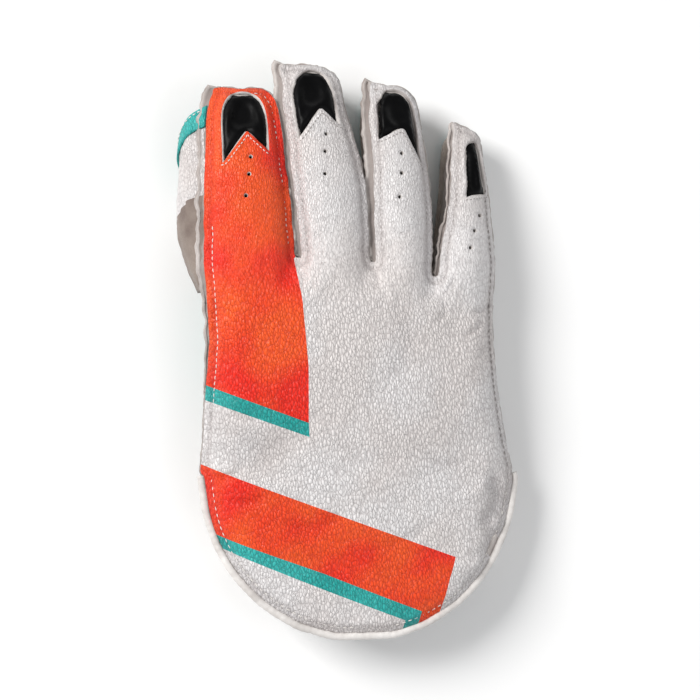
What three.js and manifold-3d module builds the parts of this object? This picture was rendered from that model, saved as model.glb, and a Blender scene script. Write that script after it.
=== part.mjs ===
// A wicketkeeping glove for the right hand. It lies palm down, as a pair is laid out, with the thumb
// folded under the palm. x runs from the thumb side to the little finger, y from the cuff to the
// fingertips, z up from the floor. Lengths are in millimetres. The plan of the glove is a grid of quads,
// and each leather or rubber panel is a sheet over that plan between two height functions, so every panel
// follows the same hand.

import * as THREE from 'three';
import { mergeVertices } from 'three/addons/utils/BufferGeometryUtils.js';
import Module from 'manifold-3d';

const wasm = await Module();
wasm.setup();

// Sizes of the whole glove
const HAND_WIDTH = 158; // across the back, at the roots of the fingers
const HAND_LENGTH = 111; // from the wrist line to the roots of the fingers
const FINGER_LENGTH = 105; // the middle stall, from the root line to its tip
const CUFF_LENGTH = 88; // from the wrist line to the end of the flaps
const CUFF_WIDTH = 171; // across the flaps, at the wrist line
const BACK_HEIGHT = 56; // the highest ridge of the back, above the floor
const PALM_LIFT = 26; // the palm's height over the folded thumb

// Leather, rubber and seams
const LEATHER = 2; // back and palm panels
const SIDE_LEATHER = 1.6; // side walls and web
const RUBBER = 2; // facing of the palm
const CAP_WALL = 1.8; // moulded fingertip caps
const SEAM_GAP = 0.4; // between two pieces sewn together
const BACK_FIN = 3.2; // how far the back's raw edge stands out past the side walls
const PALM_SETBACK = 1.2; // the palm's edge, inside the back's edge
const CUFF_SETBACK = 2.4; // the palm flap's edge, inside the back flap's edge
const CROTCH_RADIUS = 1; // between two fingers
const BACK_ROLL = 10; // how far the back falls at its edges
const BACK_ROLL_REACH = 15; // how far in that fall starts
const PALM_ROLL = 4; // how far the palm rises at its edges
const PALM_ROLL_REACH = 12;
const BINDING_RADIUS = 2.2; // bound edge of the cuff
const VENT_RADIUS = 1.05;
const CAP_RISE = 1.6; // how far a cap bulges out of its window
const CAP_DOME_REACH = 6; // how far in from the window's edge that bulge grows
const CAP_FLANGE = 4; // how far a cap reaches under the leather round its window
const ROLL_CARRY = 0.2; // how far past an edge its roll goes on, in shares of the reach
const VENT_SIDES = 6;

// Across in shares of HAND_WIDTH, lengths in shares of FINGER_LENGTH
const FINGERS = [
  { name: 'index', middleX: -0.361, tipX: -0.368, middleHalf: 0.145, tipHalf: 0.128, length: 0.88 },
  { name: 'middle', middleX: -0.088, tipX: -0.132, middleHalf: 0.128, tipHalf: 0.111, length: 1 },
  { name: 'ring', middleX: 0.166, tipX: 0.147, middleHalf: 0.106, tipHalf: 0.097, length: 0.91 },
  { name: 'little', middleX: 0.406, tipX: 0.403, middleHalf: 0.082, tipHalf: 0.066, length: 0.705 },
];
const MIDDLE_STATION = 0.42; // of a stall's own length
const SHOULDER_STATION = 0.8; // where the rounded tip starts
const FINGER_STATIONS = [0.14, 0.28, MIDDLE_STATION, 0.55, 0.68, SHOULDER_STATION];

// The bottoms of the gaps between the fingers, in the same shares, from the root line
const CROTCHES = [
  { x: -0.187, y: 0.018 },
  { x: 0.063, y: 0 },
  { x: 0.28, y: -0.067 },
];

// The sides of the hand, along in shares of HAND_LENGTH from the wrist line, across in shares of HAND_WIDTH
const SIDES = [
  { along: 0, left: -0.5, right: 0.575 },
  { along: 0.2, left: -0.49, right: 0.54 },
  { along: 0.45, left: -0.488, right: 0.5115 },
  { along: 0.7, left: -0.491, right: 0.496 },
  { along: 1, left: -0.506, right: 0.505 },
];
const CUFF_CENTRE = 0.0443; // of HAND_WIDTH

// Heights of the back's crown in shares of BACK_HEIGHT. Along runs from -1 at the cuff's end over 0 at the
// wrist and 1 at the finger roots to 2 at each finger's own tip.
const BACK_LEVELS = [
  { along: -1, left: 0.54, index: 0.7, middle: 0.74, ring: 0.73, little: 0.67, right: 0.52, roll: 0.4 },
  { along: -0.5, left: 0.6, index: 0.75, middle: 0.79, ring: 0.77, little: 0.69, right: 0.54, roll: 0.5 },
  { along: 0, left: 0.67, index: 0.82, middle: 0.87, ring: 0.83, little: 0.72, right: 0.56, roll: 0.8 },
  { along: 0.5, left: 0.84, index: 0.94, middle: 0.97, ring: 0.9, little: 0.78, right: 0.62, roll: 1 },
  { along: 1, left: 0.94, index: 1, middle: 0.99, ring: 0.9, little: 0.77, right: 0.64, roll: 1 },
  { along: 1.5, left: 0.92, index: 0.97, middle: 0.92, ring: 0.83, little: 0.72, right: 0.6, roll: 1 },
  { along: 2, left: 0.74, index: 0.76, middle: 0.7, ring: 0.64, little: 0.58, right: 0.5, roll: 0.9 },
];

// Heights of the palm panel's underside in shares of PALM_LIFT, over the same stations
const PALM_LEVELS = [
  { along: -1, left: 0, index: 0, middle: 0, ring: 0, little: 0, right: 0, roll: 0.55 },
  { along: -0.5, left: 0, index: 0, middle: 0, ring: 0, little: 0, right: 0, roll: 0.6 },
  { along: 0, left: 0.45, index: 0.42, middle: 0.25, ring: 0.1, little: 0, right: 0.02, roll: 0.7 },
  { along: 0.3, left: 1, index: 0.98, middle: 0.72, ring: 0.4, little: 0.04, right: 0.04, roll: 1 },
  { along: 1, left: 1, index: 1, middle: 0.72, ring: 0.32, little: 0.02, right: 0.04, roll: 1 },
  { along: 1.55, left: 0.98, index: 0.96, middle: 0.42, ring: 0.15, little: 0.02, right: 0.04, roll: 1 },
  { along: 2, left: 0.5, index: 0.45, middle: 0.08, ring: 0.08, little: 0.1, right: 0.12, roll: 1 },
];

// Folds pressed into the back: middle and length across in shares of HAND_WIDTH, along in shares of
// HAND_LENGTH from the wrist line, width and depth in millimetres. The turn is in degrees from straight
// across.
const FOLDS = [
  { x: 0.06, along: 0.02, turn: -4, length: 0.5, width: 7, depth: 2.4 },
  { x: 0.42, along: 0.16, turn: -34, length: 0.15, width: 6, depth: 2.6 },
  { x: 0.44, along: 0.86, turn: 28, length: 0.16, width: 4.5, depth: 1.9 },
  { x: 0.4, along: 0.7, turn: 34, length: 0.14, width: 4.5, depth: 1.5 },
  { x: -0.06, along: 0.93, turn: 8, length: 0.1, width: 5, depth: 1.3 },
  { x: -0.02, along: -0.42, turn: 12, length: 0.3, width: 9, depth: 1.4 },
];

// Windows over the caps, across in shares of HAND_WIDTH from the finger's own line, along in shares of
// its own length
const WINDOWS = [
  { finger: 'index', left: -0.07, right: 0.081, top: 0.968 },
  { finger: 'middle', left: -0.07, right: 0.076, top: 0.966 },
  { finger: 'ring', left: -0.056, right: 0.075, top: 0.962 },
  { finger: 'little', left: -0.015, right: 0.052, top: 0.885 },
];

// The leather tongue at the bottom of a window: how far along its two feet and the peak between them are
const TONGUES = [
  { finger: 'index', footLeft: 0.545, footRight: 0.615, peakX: 0.011, peak: 0.72 },
  { finger: 'middle', footLeft: 0.62, footRight: 0.69, peakX: 0.022, peak: 0.765 },
  { finger: 'ring', footLeft: 0.672, footRight: 0.563, peakX: 0.025, peak: 0.735 },
  { finger: 'little', footLeft: 0.475, footRight: 0.505, peakX: 0.02, peak: 0.5 },
];
const WINDOW_ANGLES = [180, 150, 120, 90, 60, 30, 0]; // degrees round a window's arched top

// Three vent holes on each finger, across from the finger's own line and along as above
const VENTS = [
  { finger: 'index', x: 0.02, along: 0.577 },
  { finger: 'index', x: 0.012, along: 0.479 },
  { finger: 'index', x: -0.002, along: 0.359 },
  { finger: 'middle', x: 0.022, along: 0.633 },
  { finger: 'middle', x: 0.006, along: 0.543 },
  { finger: 'middle', x: -0.01, along: 0.431 },
  { finger: 'ring', x: 0.009, along: 0.602 },
  { finger: 'ring', x: 0, along: 0.491 },
  { finger: 'ring', x: -0.015, along: 0.358 },
  { finger: 'little', x: 0.034, along: 0.347 },
  { finger: 'little', x: 0.012, along: 0.233 },
  { finger: 'little', x: -0.006, along: 0.111 },
];

// The folded thumb, across in shares of HAND_WIDTH, along in shares of HAND_LENGTH from the wrist line
const THUMB_ROOT = { x: -0.28, along: 0.4 };
const THUMB_TIP = { x: -0.375, along: 1.29 };
const THUMB_ROOT_WIDTH = 37;
const THUMB_TIP_WIDTH = 31;
const THUMB_ROLL_REACH = 10;
const THUMB_CLEARANCE = 1.2; // under the facing
const THUMB_MOUTH_RADIUS = 12; // hole from the palm into the thumb
const THUMB_MOUTH_SIDES = 20;
const NECK_MARGIN = 3; // bare leather of the palm round the neck of the thumb
const THUMB_STATIONS = [0, 0.25, 0.5, 0.75, 1]; // of the way from its root to its tip

// The web between the index stall and the thumb, along in shares of HAND_LENGTH from the wrist line
const WEB_LOW = 0.86;
const WEB_TOP = 1.745;
const WEB_SLANT = 0.33; // how much lower the web's top edge is at the thumb
const WEB_BULGE = 11; // how far the folded web stands out past the side of the index stall
const WEB_FULL = 0.45; // of the web's length, where its bulge is full
const WEB_TIP_TUCK = 0.35; // of the index stall's half width, how far the web's top follows the tip inwards
const WEB_STRIP_START = 0.15; // of the way round the fold, from the index stall
const WEB_STRIP_END = 0.95;
const WEB_STRIP_WIDTH = 12;
const WEB_STRIP_WALL = 1.2;

// The web's fold between its two seams: how far along it, and its bulge in shares of the full one
const WEB_FOLD = [
  { share: 0.16, bulge: 0.6 },
  { share: 0.5, bulge: 1 },
  { share: 0.85, bulge: 0.5 },
];

const FACING_START = 0.34; // of HAND_LENGTH, from the wrist line
const CUFF_SIDE_END = 0.62; // of CUFF_LENGTH, where the flaps part
const SIDE_SEAM = 0.8; // of HAND_LENGTH, where the strips of the hand's sides meet those of the outer fingers

const BACK_COLUMNS = 5; // quads across a finger
const PALM_COLUMNS = 4;
const THUMB_COLUMNS = 5;
const HAND_ROWS = 6;
const TIP_ANGLES = [35, 62, 81]; // degrees round a rounded end, from its shoulder
const TIP_SQUARENESS = 0.8; // 1 is an ellipse, less is squarer
const CUFF_ANGLES = [3, 18, 33, 48, 64, 80]; // degrees round the flap's half ellipse

const WEB_COLUMNS = 8;
const WEB_ROWS = 8;
const BINDING_STEP = 9; // degrees round the flap's half ellipse
const BINDING_SIDES = 6;
const BINDING_START = 2; // degrees round the flap's half ellipse
const SIDE_END_ANGLE = THREE.MathUtils.radToDeg(Math.asin(CUFF_SIDE_END)) + 4;
const MAX_UPRIGHT = 1.6; // steepest wall, as a multiple of its thickness

// Beyond the glove: how far a cutting prism stands, how wide a zone is and where the fingertips end
const PRISM_DEPTH = 3 * BACK_HEIGHT;
const FAR = 2 * HAND_WIDTH;
const GLOVE_TOP = HAND_LENGTH + FINGER_LENGTH + LEATHER;
const HAND_SPLIT = SIDE_SEAM * HAND_LENGTH;
const CUFF_SIDE_FOOT = -CUFF_SIDE_END * CUFF_LENGTH;

const COLUMN_NAMES = ['left', 'index', 'middle', 'ring', 'little', 'right'];
const radians = THREE.MathUtils.degToRad;
const lerp = THREE.MathUtils.lerp;
const clamp = THREE.MathUtils.clamp;

// A smooth curve through a table's rows: the value of one column at a place along another
function curveAt(rows, key, along, at = 'along') {
  const last = rows.length - 1;
  if (along <= rows[0][at]) return rows[0][key];
  if (along >= rows[last][at]) return rows[last][key];
  const i = rows.findIndex((row) => row[at] > along) - 1;
  const slope = (a, b) => (rows[b][key] - rows[a][key]) / (rows[b][at] - rows[a][at]);
  const tangent = (k) => slope(Math.max(k - 1, 0), Math.min(k + 1, last));
  const span = rows[i + 1][at] - rows[i][at];
  const t = (along - rows[i][at]) / span;
  const h = t * t * (3 - 2 * t);
  return lerp(rows[i][key], rows[i + 1][key], h) +
    span * (tangent(i) * t * (1 - t) ** 2 - tangent(i + 1) * t * t * (1 - t));
}

const fingerNamed = (name) => FINGERS.find((finger) => finger.name === name);
const fingerLength = (finger) => finger.length * FINGER_LENGTH;

// The line down the middle of a finger, at a share of its own length
function fingerX(finger, share) {
  const line = [
    { along: 0, x: finger.middleX + (finger.middleX - finger.tipX) },
    { along: MIDDLE_STATION, x: finger.middleX },
    { along: SHOULDER_STATION, x: finger.tipX },
    { along: 1, x: finger.tipX },
  ];
  return HAND_WIDTH * curveAt(line, 'x', share);
}

function fingerPoint(finger, acrossShare, share) {
  return {
    x: fingerX(finger, share) + acrossShare * HAND_WIDTH,
    y: HAND_LENGTH + share * fingerLength(finger),
  };
}

function rounded(halfWidth, depth, degrees) {
  const angle = radians(degrees);
  return {
    half: halfWidth * Math.cos(angle) ** TIP_SQUARENESS,
    y: depth * Math.sin(angle) ** TIP_SQUARENESS,
  };
}

// The glove's plan as patches of rows of points, drawn in from the true outline by inset
function glovePlan(inset, cuffInset = inset, fingerColumns = BACK_COLUMNS) {
  const side = (share) => ({
    left: HAND_WIDTH * curveAt(SIDES, 'left', share) + inset,
    right: HAND_WIDTH * curveAt(SIDES, 'right', share) - inset,
  });
  const crotchRadius = CROTCH_RADIUS + inset;
  const beside = (crotch, sign) => ({
    x: crotch.x * HAND_WIDTH + sign * crotchRadius,
    y: HAND_LENGTH + crotch.y * FINGER_LENGTH - inset,
  });
  const fingers = FINGERS.map((finger, f) => {
    const before = CROTCHES[f - 1];
    const after = CROTCHES[f];
    const rootLeft = before ? beside(before, 1) : { x: side(1).left, y: HAND_LENGTH };
    const rootRight = after ? beside(after, -1) : { x: side(1).right, y: HAND_LENGTH };
    return fingerRows(finger, rootLeft, rootRight, inset, fingerColumns);
  });
  const rootRow = fingers.flatMap((rows) => rows[0]);
  const columns = rootRow.length - 1;
  const hand = [];
  for (let row = 0; row < HAND_ROWS; row++) {
    const along = row / HAND_ROWS;
    const { left, right } = side(along);
    const rootLeft = rootRow[0].x;
    const rootWidth = rootRow[columns].x - rootLeft;
    hand.push(rootRow.map((root, c) => ({
      x: lerp(left, right, lerp(c / columns, (root.x - rootLeft) / rootWidth, along)),
      y: root.y * along,
    })));
  }
  hand.push(rootRow);
  for (const degrees of CUFF_ANGLES) {
    const angle = radians(degrees);
    hand.unshift(rootRow.map((root, c) => ({
      x: CUFF_CENTRE * HAND_WIDTH + (CUFF_WIDTH / 2 - cuffInset) * Math.cos(angle) * (2 * c / columns - 1),
      y: -(CUFF_LENGTH - cuffInset) * Math.sin(angle),
    })));
  }
  return [hand, ...fingers];
}

function fingerRows(finger, rootLeft, rootRight, inset, columns) {
  const length = fingerLength(finger);
  const edge = (root, sign) => [
    { along: 0, x: root.x },
    { along: MIDDLE_STATION, x: HAND_WIDTH * (finger.middleX + sign * finger.middleHalf) - sign * inset },
    { along: SHOULDER_STATION, x: HAND_WIDTH * (finger.tipX + sign * finger.tipHalf) - sign * inset },
  ];
  const leftEdge = edge(rootLeft, -1);
  const rightEdge = edge(rootRight, 1);
  const across = (left, right) => Array.from({ length: columns + 1 }, (_, c) => ({
    x: lerp(left.x, right.x, c / columns),
    y: lerp(left.y, right.y, c / columns),
  }));
  const rows = [across(rootLeft, rootRight)];
  for (const share of FINGER_STATIONS) {
    const y = HAND_LENGTH + share * length;
    const fromRoot = clamp(1 - share / MIDDLE_STATION, 0, 1);
    rows.push(across(
      { x: curveAt(leftEdge, 'x', share), y: y + (rootLeft.y - HAND_LENGTH) * fromRoot },
      { x: curveAt(rightEdge, 'x', share), y: y + (rootRight.y - HAND_LENGTH) * fromRoot },
    ));
  }
  const half = HAND_WIDTH * finger.tipHalf - inset;
  for (const degrees of TIP_ANGLES) {
    const round = rounded(half, (1 - SHOULDER_STATION) * length - inset, degrees);
    const y = HAND_LENGTH + SHOULDER_STATION * length + round.y;
    const x = finger.tipX * HAND_WIDTH;
    rows.push(across({ x: x - round.half, y }, { x: x + round.half, y }));
  }
  return rows;
}

// Triangles over patches of rows, with shared points merged. Patches run left to right and towards the
// fingertips.
function triangulate(patches) {
  const points = [];
  const triangles = [];
  const index = new Map();
  const add = (point) => {
    const key = point.x.toFixed(3) + ' ' + point.y.toFixed(3);
    if (!index.has(key)) index.set(key, points.push(point) - 1);
    return index.get(key);
  };
  for (const rows of patches) {
    const grid = rows.map((row) => row.map(add));
    for (let r = 0; r + 1 < grid.length; r++) {
      for (let c = 0; c + 1 < grid[r].length; c++) {
        const [a, b, d, e] = [grid[r][c], grid[r][c + 1], grid[r + 1][c + 1], grid[r + 1][c]];
        triangles.push([a, b, d], [a, d, e]);
      }
    }
  }
  return { points, triangles: triangles.filter(([a, b, c]) => a !== b && b !== c && a !== c) };
}

// The edges that only one triangle uses, each from its first point to its next
function boundaryEdges(triangles) {
  const edges = new Map();
  for (const [a, b, c] of triangles) {
    for (const [from, to] of [[a, b], [b, c], [c, a]]) {
      if (!edges.delete(to + ' ' + from)) edges.set(from + ' ' + to, [from, to]);
    }
  }
  return [...edges.values()];
}

function outlineOf(patches) {
  const { points, triangles } = triangulate(patches);
  const next = new Map(boundaryEdges(triangles));
  const start = next.keys().next().value;
  const outline = [points[start]];
  for (let at = next.get(start); at !== start; at = next.get(at)) outline.push(points[at]);
  return outline;
}

function solidFrom(positions, triangles) {
  return new wasm.Manifold(new wasm.Mesh({
    numProp: 3,
    vertProperties: new Float32Array(positions),
    triVerts: new Uint32Array(triangles),
  }));
}

// A sheet over the plan, between two height functions
function sheetOver(patches, upper, lower) {
  const { points, triangles } = triangulate(patches);
  const count = points.length;
  const positions = [
    ...points.flatMap((p) => [p.x, p.y, upper(p.x, p.y)]),
    ...points.flatMap((p) => [p.x, p.y, lower(p.x, p.y)]),
  ];
  const faces = triangles.flatMap(([a, b, c]) => [a, b, c, a + count, c + count, b + count]);
  for (const [from, to] of boundaryEdges(triangles)) {
    faces.push(from, from + count, to + count, from, to + count, to);
  }
  return solidFrom(positions, faces);
}

function solidOf(geometry) {
  const plain = geometry.clone();
  for (const name of Object.keys(plain.attributes)) {
    if (name !== 'position') plain.deleteAttribute(name);
  }
  const merged = mergeVertices(plain, 1e-3);
  return solidFrom(merged.attributes.position.array, merged.index.array);
}

// An upright prism through everything, over a closed outline
function prismOver(outline) {
  const shape = new THREE.Shape(outline.map((p) => new THREE.Vector2(p.x, p.y)));
  const geometry = new THREE.ExtrudeGeometry(shape, { depth: PRISM_DEPTH, bevelEnabled: false });
  return solidOf(geometry.translate(0, 0, -PRISM_DEPTH / 3));
}

const OUTLINE = outlineOf(glovePlan(0));

// Signed distance in plan from an outline, positive inside
function distanceInside(outline, x, y) {
  let nearest = Infinity;
  let inside = false;
  outline.forEach((a, i) => {
    const b = outline[(i + 1) % outline.length];
    const dx = b.x - a.x;
    const dy = b.y - a.y;
    const t = clamp(((x - a.x) * dx + (y - a.y) * dy) / (dx * dx + dy * dy), 0, 1);
    nearest = Math.min(nearest, Math.hypot(x - a.x - t * dx, y - a.y - t * dy));
    if (a.y > y !== b.y > y && x < a.x + ((y - a.y) / dy) * dx) inside = !inside;
  });
  return inside ? nearest : -nearest;
}

function alongOf(column, y) {
  if (y < 0) return y / CUFF_LENGTH;
  if (y < HAND_LENGTH) return y / HAND_LENGTH;
  const finger = fingerNamed({ left: 'index', right: 'little' }[column] ?? column);
  return 1 + (y - HAND_LENGTH) / fingerLength(finger);
}

function columnX(column, y) {
  const share = Math.max(alongOf(column, y) - 1, 0);
  if (column === 'left') return HAND_WIDTH * SIDES[0].left;
  if (column === 'right') return HAND_WIDTH * SIDES[0].right;
  return fingerX(fingerNamed(column), share);
}

// A level of the hand between its columns, before its edges roll
function levelAt(levels, x, y) {
  const rows = COLUMN_NAMES.map((column) => ({
    x: columnX(column, y),
    level: curveAt(levels, column, alongOf(column, y)),
  }));
  return curveAt(rows, 'level', x, 'x');
}

const rolled = (distance, reach) => (1 - clamp(distance / reach, -ROLL_CARRY, 1)) ** 2;

function foldDepth(x, y) {
  return FOLDS.reduce((sum, fold) => {
    const dx = x - fold.x * HAND_WIDTH;
    const dy = y - fold.along * HAND_LENGTH;
    const angle = radians(fold.turn);
    const across = (dy * Math.cos(angle) - dx * Math.sin(angle)) / fold.width;
    const lengthwise = (dx * Math.cos(angle) + dy * Math.sin(angle)) / (fold.length * HAND_WIDTH);
    return sum + fold.depth * Math.exp(-(across ** 2) - lengthwise ** 4);
  }, 0);
}

function backOuter(x, y) {
  const roll = BACK_ROLL * curveAt(BACK_LEVELS, 'roll', alongOf('middle', y));
  const fall = roll * rolled(distanceInside(OUTLINE, x, y), BACK_ROLL_REACH);
  return BACK_HEIGHT * levelAt(BACK_LEVELS, x, y) - fall - foldDepth(x, y);
}

function palmOuter(x, y) {
  const roll = PALM_ROLL * curveAt(PALM_LEVELS, 'roll', alongOf('middle', y));
  const rise = roll * rolled(distanceInside(OUTLINE, x, y), PALM_ROLL_REACH);
  const floor = clamp(y / (FACING_START * HAND_LENGTH / 2), 0, 1) * (RUBBER + SEAM_GAP);
  return Math.max(PALM_LIFT * levelAt(PALM_LEVELS, x, y) + rise, floor);
}

// The upright thickness that gives a sloping sheet its true wall
function uprightWall(surface, wall, x, y) {
  const slopeX = surface(x + 1, y) - surface(x - 1, y);
  const slopeY = surface(x, y + 1) - surface(x, y - 1);
  return wall * Math.min(Math.hypot(1, slopeX / 2, slopeY / 2), MAX_UPRIGHT);
}
const backInner = (x, y) => backOuter(x, y) - uprightWall(backOuter, LEATHER, x, y);
const palmInner = (x, y) => palmOuter(x, y) + uprightWall(palmOuter, LEATHER, x, y);

const backPlan = glovePlan(0);
const palmPlan = glovePlan(PALM_SETBACK, CUFF_SETBACK, PALM_COLUMNS);

// Everything between the two panels, with a seam's gap at each
const handSpace = sheetOver(backPlan, (x, y) => backInner(x, y) - SEAM_GAP, () => -PRISM_DEPTH)
  .intersect(sheetOver(palmPlan, () => PRISM_DEPTH, (x, y) => palmInner(x, y) + SEAM_GAP));

function windowOutline(row) {
  const finger = fingerNamed(row.finger);
  const at = (acrossShare, share) => fingerPoint(finger, acrossShare, share);
  const middle = (row.left + row.right) / 2;
  const half = (row.right - row.left) / 2;
  const shoulder = row.top - (half * HAND_WIDTH) / fingerLength(finger);
  const arch = WINDOW_ANGLES.map((degrees) => {
    const angle = radians(degrees);
    return at(middle + half * Math.cos(angle), shoulder + (row.top - shoulder) * Math.sin(angle));
  });
  const tongue = TONGUES.find((other) => other.finger === row.finger);
  const feet = [at(row.right, tongue.footRight), at(tongue.peakX, tongue.peak)];
  return [at(row.left, tongue.footLeft), ...arch, ...feet].reverse();
}

// An outline grown outwards about its own middle
function grown(outline, by) {
  const mean = (key) => outline.reduce((sum, p) => sum + p[key], 0) / outline.length;
  const centre = { x: mean('x'), y: mean('y') };
  return outline.map((p) => {
    const dx = p.x - centre.x;
    const dy = p.y - centre.y;
    const share = by / Math.hypot(dx, dy);
    return { x: p.x + dx * share, y: p.y + dy * share };
  });
}

// An upright prism with equal sides
function roundPrism(radius, sides, x, y) {
  const cylinder = new THREE.CylinderGeometry(radius, radius, 2 * PRISM_DEPTH, sides);
  return solidOf(cylinder.rotateX(Math.PI / 2).translate(x, y, 0));
}

function ventHole(row) {
  const { x, y } = fingerPoint(fingerNamed(row.finger), row.x, row.along);
  return roundPrism(VENT_RADIUS, VENT_SIDES, x, y);
}

function backPanel() {
  const holes = [...WINDOWS.map((row) => prismOver(windowOutline(row))), ...VENTS.map(ventHole)];
  return holes.reduce((panel, hole) => panel.subtract(hole), sheetOver(backPlan, backOuter, backInner));
}

// A cap has a flange under the leather and a dome that fills its window
function fingerCap(row) {
  const window = windowOutline(row);
  const under = (drop) => (x, y) => backInner(x, y) - SEAM_GAP - drop;
  const bulge = (x, y) => 1 - rolled(distanceInside(window, x, y), CAP_DOME_REACH);
  const dome = (x, y) => backOuter(x, y) + CAP_RISE * bulge(x, y);
  const inside = prismOver(outlineOf(glovePlan(BACK_FIN + SIDE_LEATHER + SEAM_GAP)));
  const flange = sheetOver(backPlan, under(0), under(CAP_WALL))
    .intersect(prismOver(grown(window.slice(0, -1), CAP_FLANGE)));
  return sheetOver(backPlan, dome, under(CAP_WALL))
    .intersect(prismOver(grown(window, -SEAM_GAP)))
    .add(flange)
    .intersect(inside);
}

// The strip of side wall that runs round the glove, inside the raw edges
const sideRing = prismOver(outlineOf(glovePlan(BACK_FIN)))
  .subtract(prismOver(outlineOf(glovePlan(BACK_FIN + SIDE_LEATHER))))
  .intersect(handSpace);

// The gap line between two neighbouring fingers, from its crotch to beyond the tips
function gapLine(f) {
  const crotch = CROTCHES[f];
  const halfway = (key) => ((FINGERS[f][key + 'X'] + FINGERS[f][key + 'Half']) +
    (FINGERS[f + 1][key + 'X'] - FINGERS[f + 1][key + 'Half'])) / 2 * HAND_WIDTH;
  return [
    { x: crotch.x * HAND_WIDTH, y: HAND_LENGTH + crotch.y * FINGER_LENGTH - 2 * (BACK_FIN + SIDE_LEATHER) },
    { x: crotch.x * HAND_WIDTH, y: HAND_LENGTH + crotch.y * FINGER_LENGTH },
    { x: halfway('middle'), y: HAND_LENGTH + MIDDLE_STATION * FINGER_LENGTH },
    { x: halfway('tip'), y: GLOVE_TOP },
  ];
}

// The ground that belongs to one finger's side wall
function fingerZone(f) {
  const shift = (line, by) => line.map((p) => ({ x: p.x + by, y: p.y }));
  const outside = (x) => [{ x, y: HAND_SPLIT }, { x, y: GLOVE_TOP }];
  const foot = (crotch) => ({ x: crotch.x * HAND_WIDTH, y: HAND_SPLIT });
  if (f === 0) return [...outside(-FAR).reverse(), foot(CROTCHES[f]), ...shift(gapLine(f), -SEAM_GAP / 2)];
  const left = shift(gapLine(f - 1), SEAM_GAP / 2).reverse();
  if (f === FINGERS.length - 1) return [...left, foot(CROTCHES[f - 1]), ...outside(FAR)];
  return [...left, ...shift(gapLine(f), -SEAM_GAP / 2)];
}

// The ground of the strip down one side of the hand, from the outer finger to the end of the closed cuff
function handSideZone(farX) {
  const top = HAND_SPLIT - SEAM_GAP;
  const corners = [[0, CUFF_SIDE_FOOT], [farX, CUFF_SIDE_FOOT], [farX, top], [0, top]];
  return corners.map(([x, y]) => ({ x, y }));
}

const sideWall = (zone) => sideRing.intersect(prismOver(zone));

// The thumb, from its root to its tip
const axis = {
  from: { x: THUMB_ROOT.x * HAND_WIDTH, y: THUMB_ROOT.along * HAND_LENGTH },
  to: { x: THUMB_TIP.x * HAND_WIDTH, y: THUMB_TIP.along * HAND_LENGTH },
};
axis.length = Math.hypot(axis.to.x - axis.from.x, axis.to.y - axis.from.y);
axis.dx = (axis.to.x - axis.from.x) / axis.length;
axis.dy = (axis.to.y - axis.from.y) / axis.length;

const thumbHalf = (share) => lerp(THUMB_ROOT_WIDTH, THUMB_TIP_WIDTH, clamp(share, 0, 1)) / 2;

function thumbPlan(inset) {
  const rows = [];
  const addRow = (reach, half) => {
    rows.push(Array.from({ length: THUMB_COLUMNS + 1 }, (_, c) => {
      const across = half * (2 * c / THUMB_COLUMNS - 1);
      return {
        x: axis.from.x + axis.dx * reach + axis.dy * across,
        y: axis.from.y + axis.dy * reach - axis.dx * across,
      };
    }));
  };
  for (const degrees of [...TIP_ANGLES].reverse()) {
    const round = rounded(thumbHalf(0) - inset, thumbHalf(0) - inset, degrees);
    addRow(-round.y, round.half);
  }
  for (const share of THUMB_STATIONS) addRow(share * axis.length, thumbHalf(share) - inset);
  for (const degrees of TIP_ANGLES) {
    const round = rounded(thumbHalf(1) - inset, thumbHalf(1) - inset, degrees);
    addRow(axis.length + round.y, round.half);
  }
  return [rows];
}

const THUMB_OUTLINE = outlineOf(thumbPlan(0));
const THUMB_HEIGHT = PALM_LIFT - SEAM_GAP - RUBBER - THUMB_CLEARANCE;
const thumbFall = (x, y) => {
  const depth = THUMB_HEIGHT / 2 - MAX_UPRIGHT * LEATHER - SEAM_GAP / 2;
  return depth * rolled(Math.max(distanceInside(THUMB_OUTLINE, x, y), 0), THUMB_ROLL_REACH);
};
const thumbLow = (x, y) => thumbFall(x, y);
const thumbHigh = (x, y) => THUMB_HEIGHT - thumbFall(x, y);

const mouthPrism = (radius) => roundPrism(radius, THUMB_MOUTH_SIDES, axis.from.x, axis.from.y);

function thumbPalm() {
  return sheetOver(thumbPlan(0), (x, y) => thumbLow(x, y) + uprightWall(thumbLow, LEATHER, x, y), thumbLow);
}

// The upper half carries the neck that joins the thumb to the palm
function thumbBack() {
  const inner = (x, y) => thumbHigh(x, y) - uprightWall(thumbHigh, LEATHER, x, y);
  const shell = sheetOver(thumbPlan(0), thumbHigh, inner);
  const neckTop = (x, y) => palmOuter(x, y) - SEAM_GAP;
  const neck = sheetOver(palmPlan, neckTop, () => THUMB_HEIGHT - LEATHER)
    .intersect(mouthPrism(THUMB_MOUTH_RADIUS + LEATHER));
  return shell.add(neck).subtract(mouthPrism(THUMB_MOUTH_RADIUS));
}

function palmPanel() {
  return sheetOver(palmPlan, palmInner, palmOuter)
    .subtract(mouthPrism(THUMB_MOUTH_RADIUS));
}

function palmFacing() {
  const upper = (x, y) => palmOuter(x, y) - SEAM_GAP;
  const start = FACING_START * HAND_LENGTH;
  const corners = [[-FAR, start], [FAR, start], [FAR, GLOVE_TOP], [-FAR, GLOVE_TOP]];
  const region = corners.map(([x, y]) => ({ x, y }));
  return sheetOver(palmPlan, upper, (x, y) => upper(x, y) - RUBBER)
    .intersect(prismOver(region))
    .subtract(mouthPrism(THUMB_MOUTH_RADIUS + LEATHER + NECK_MARGIN));
}

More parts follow.
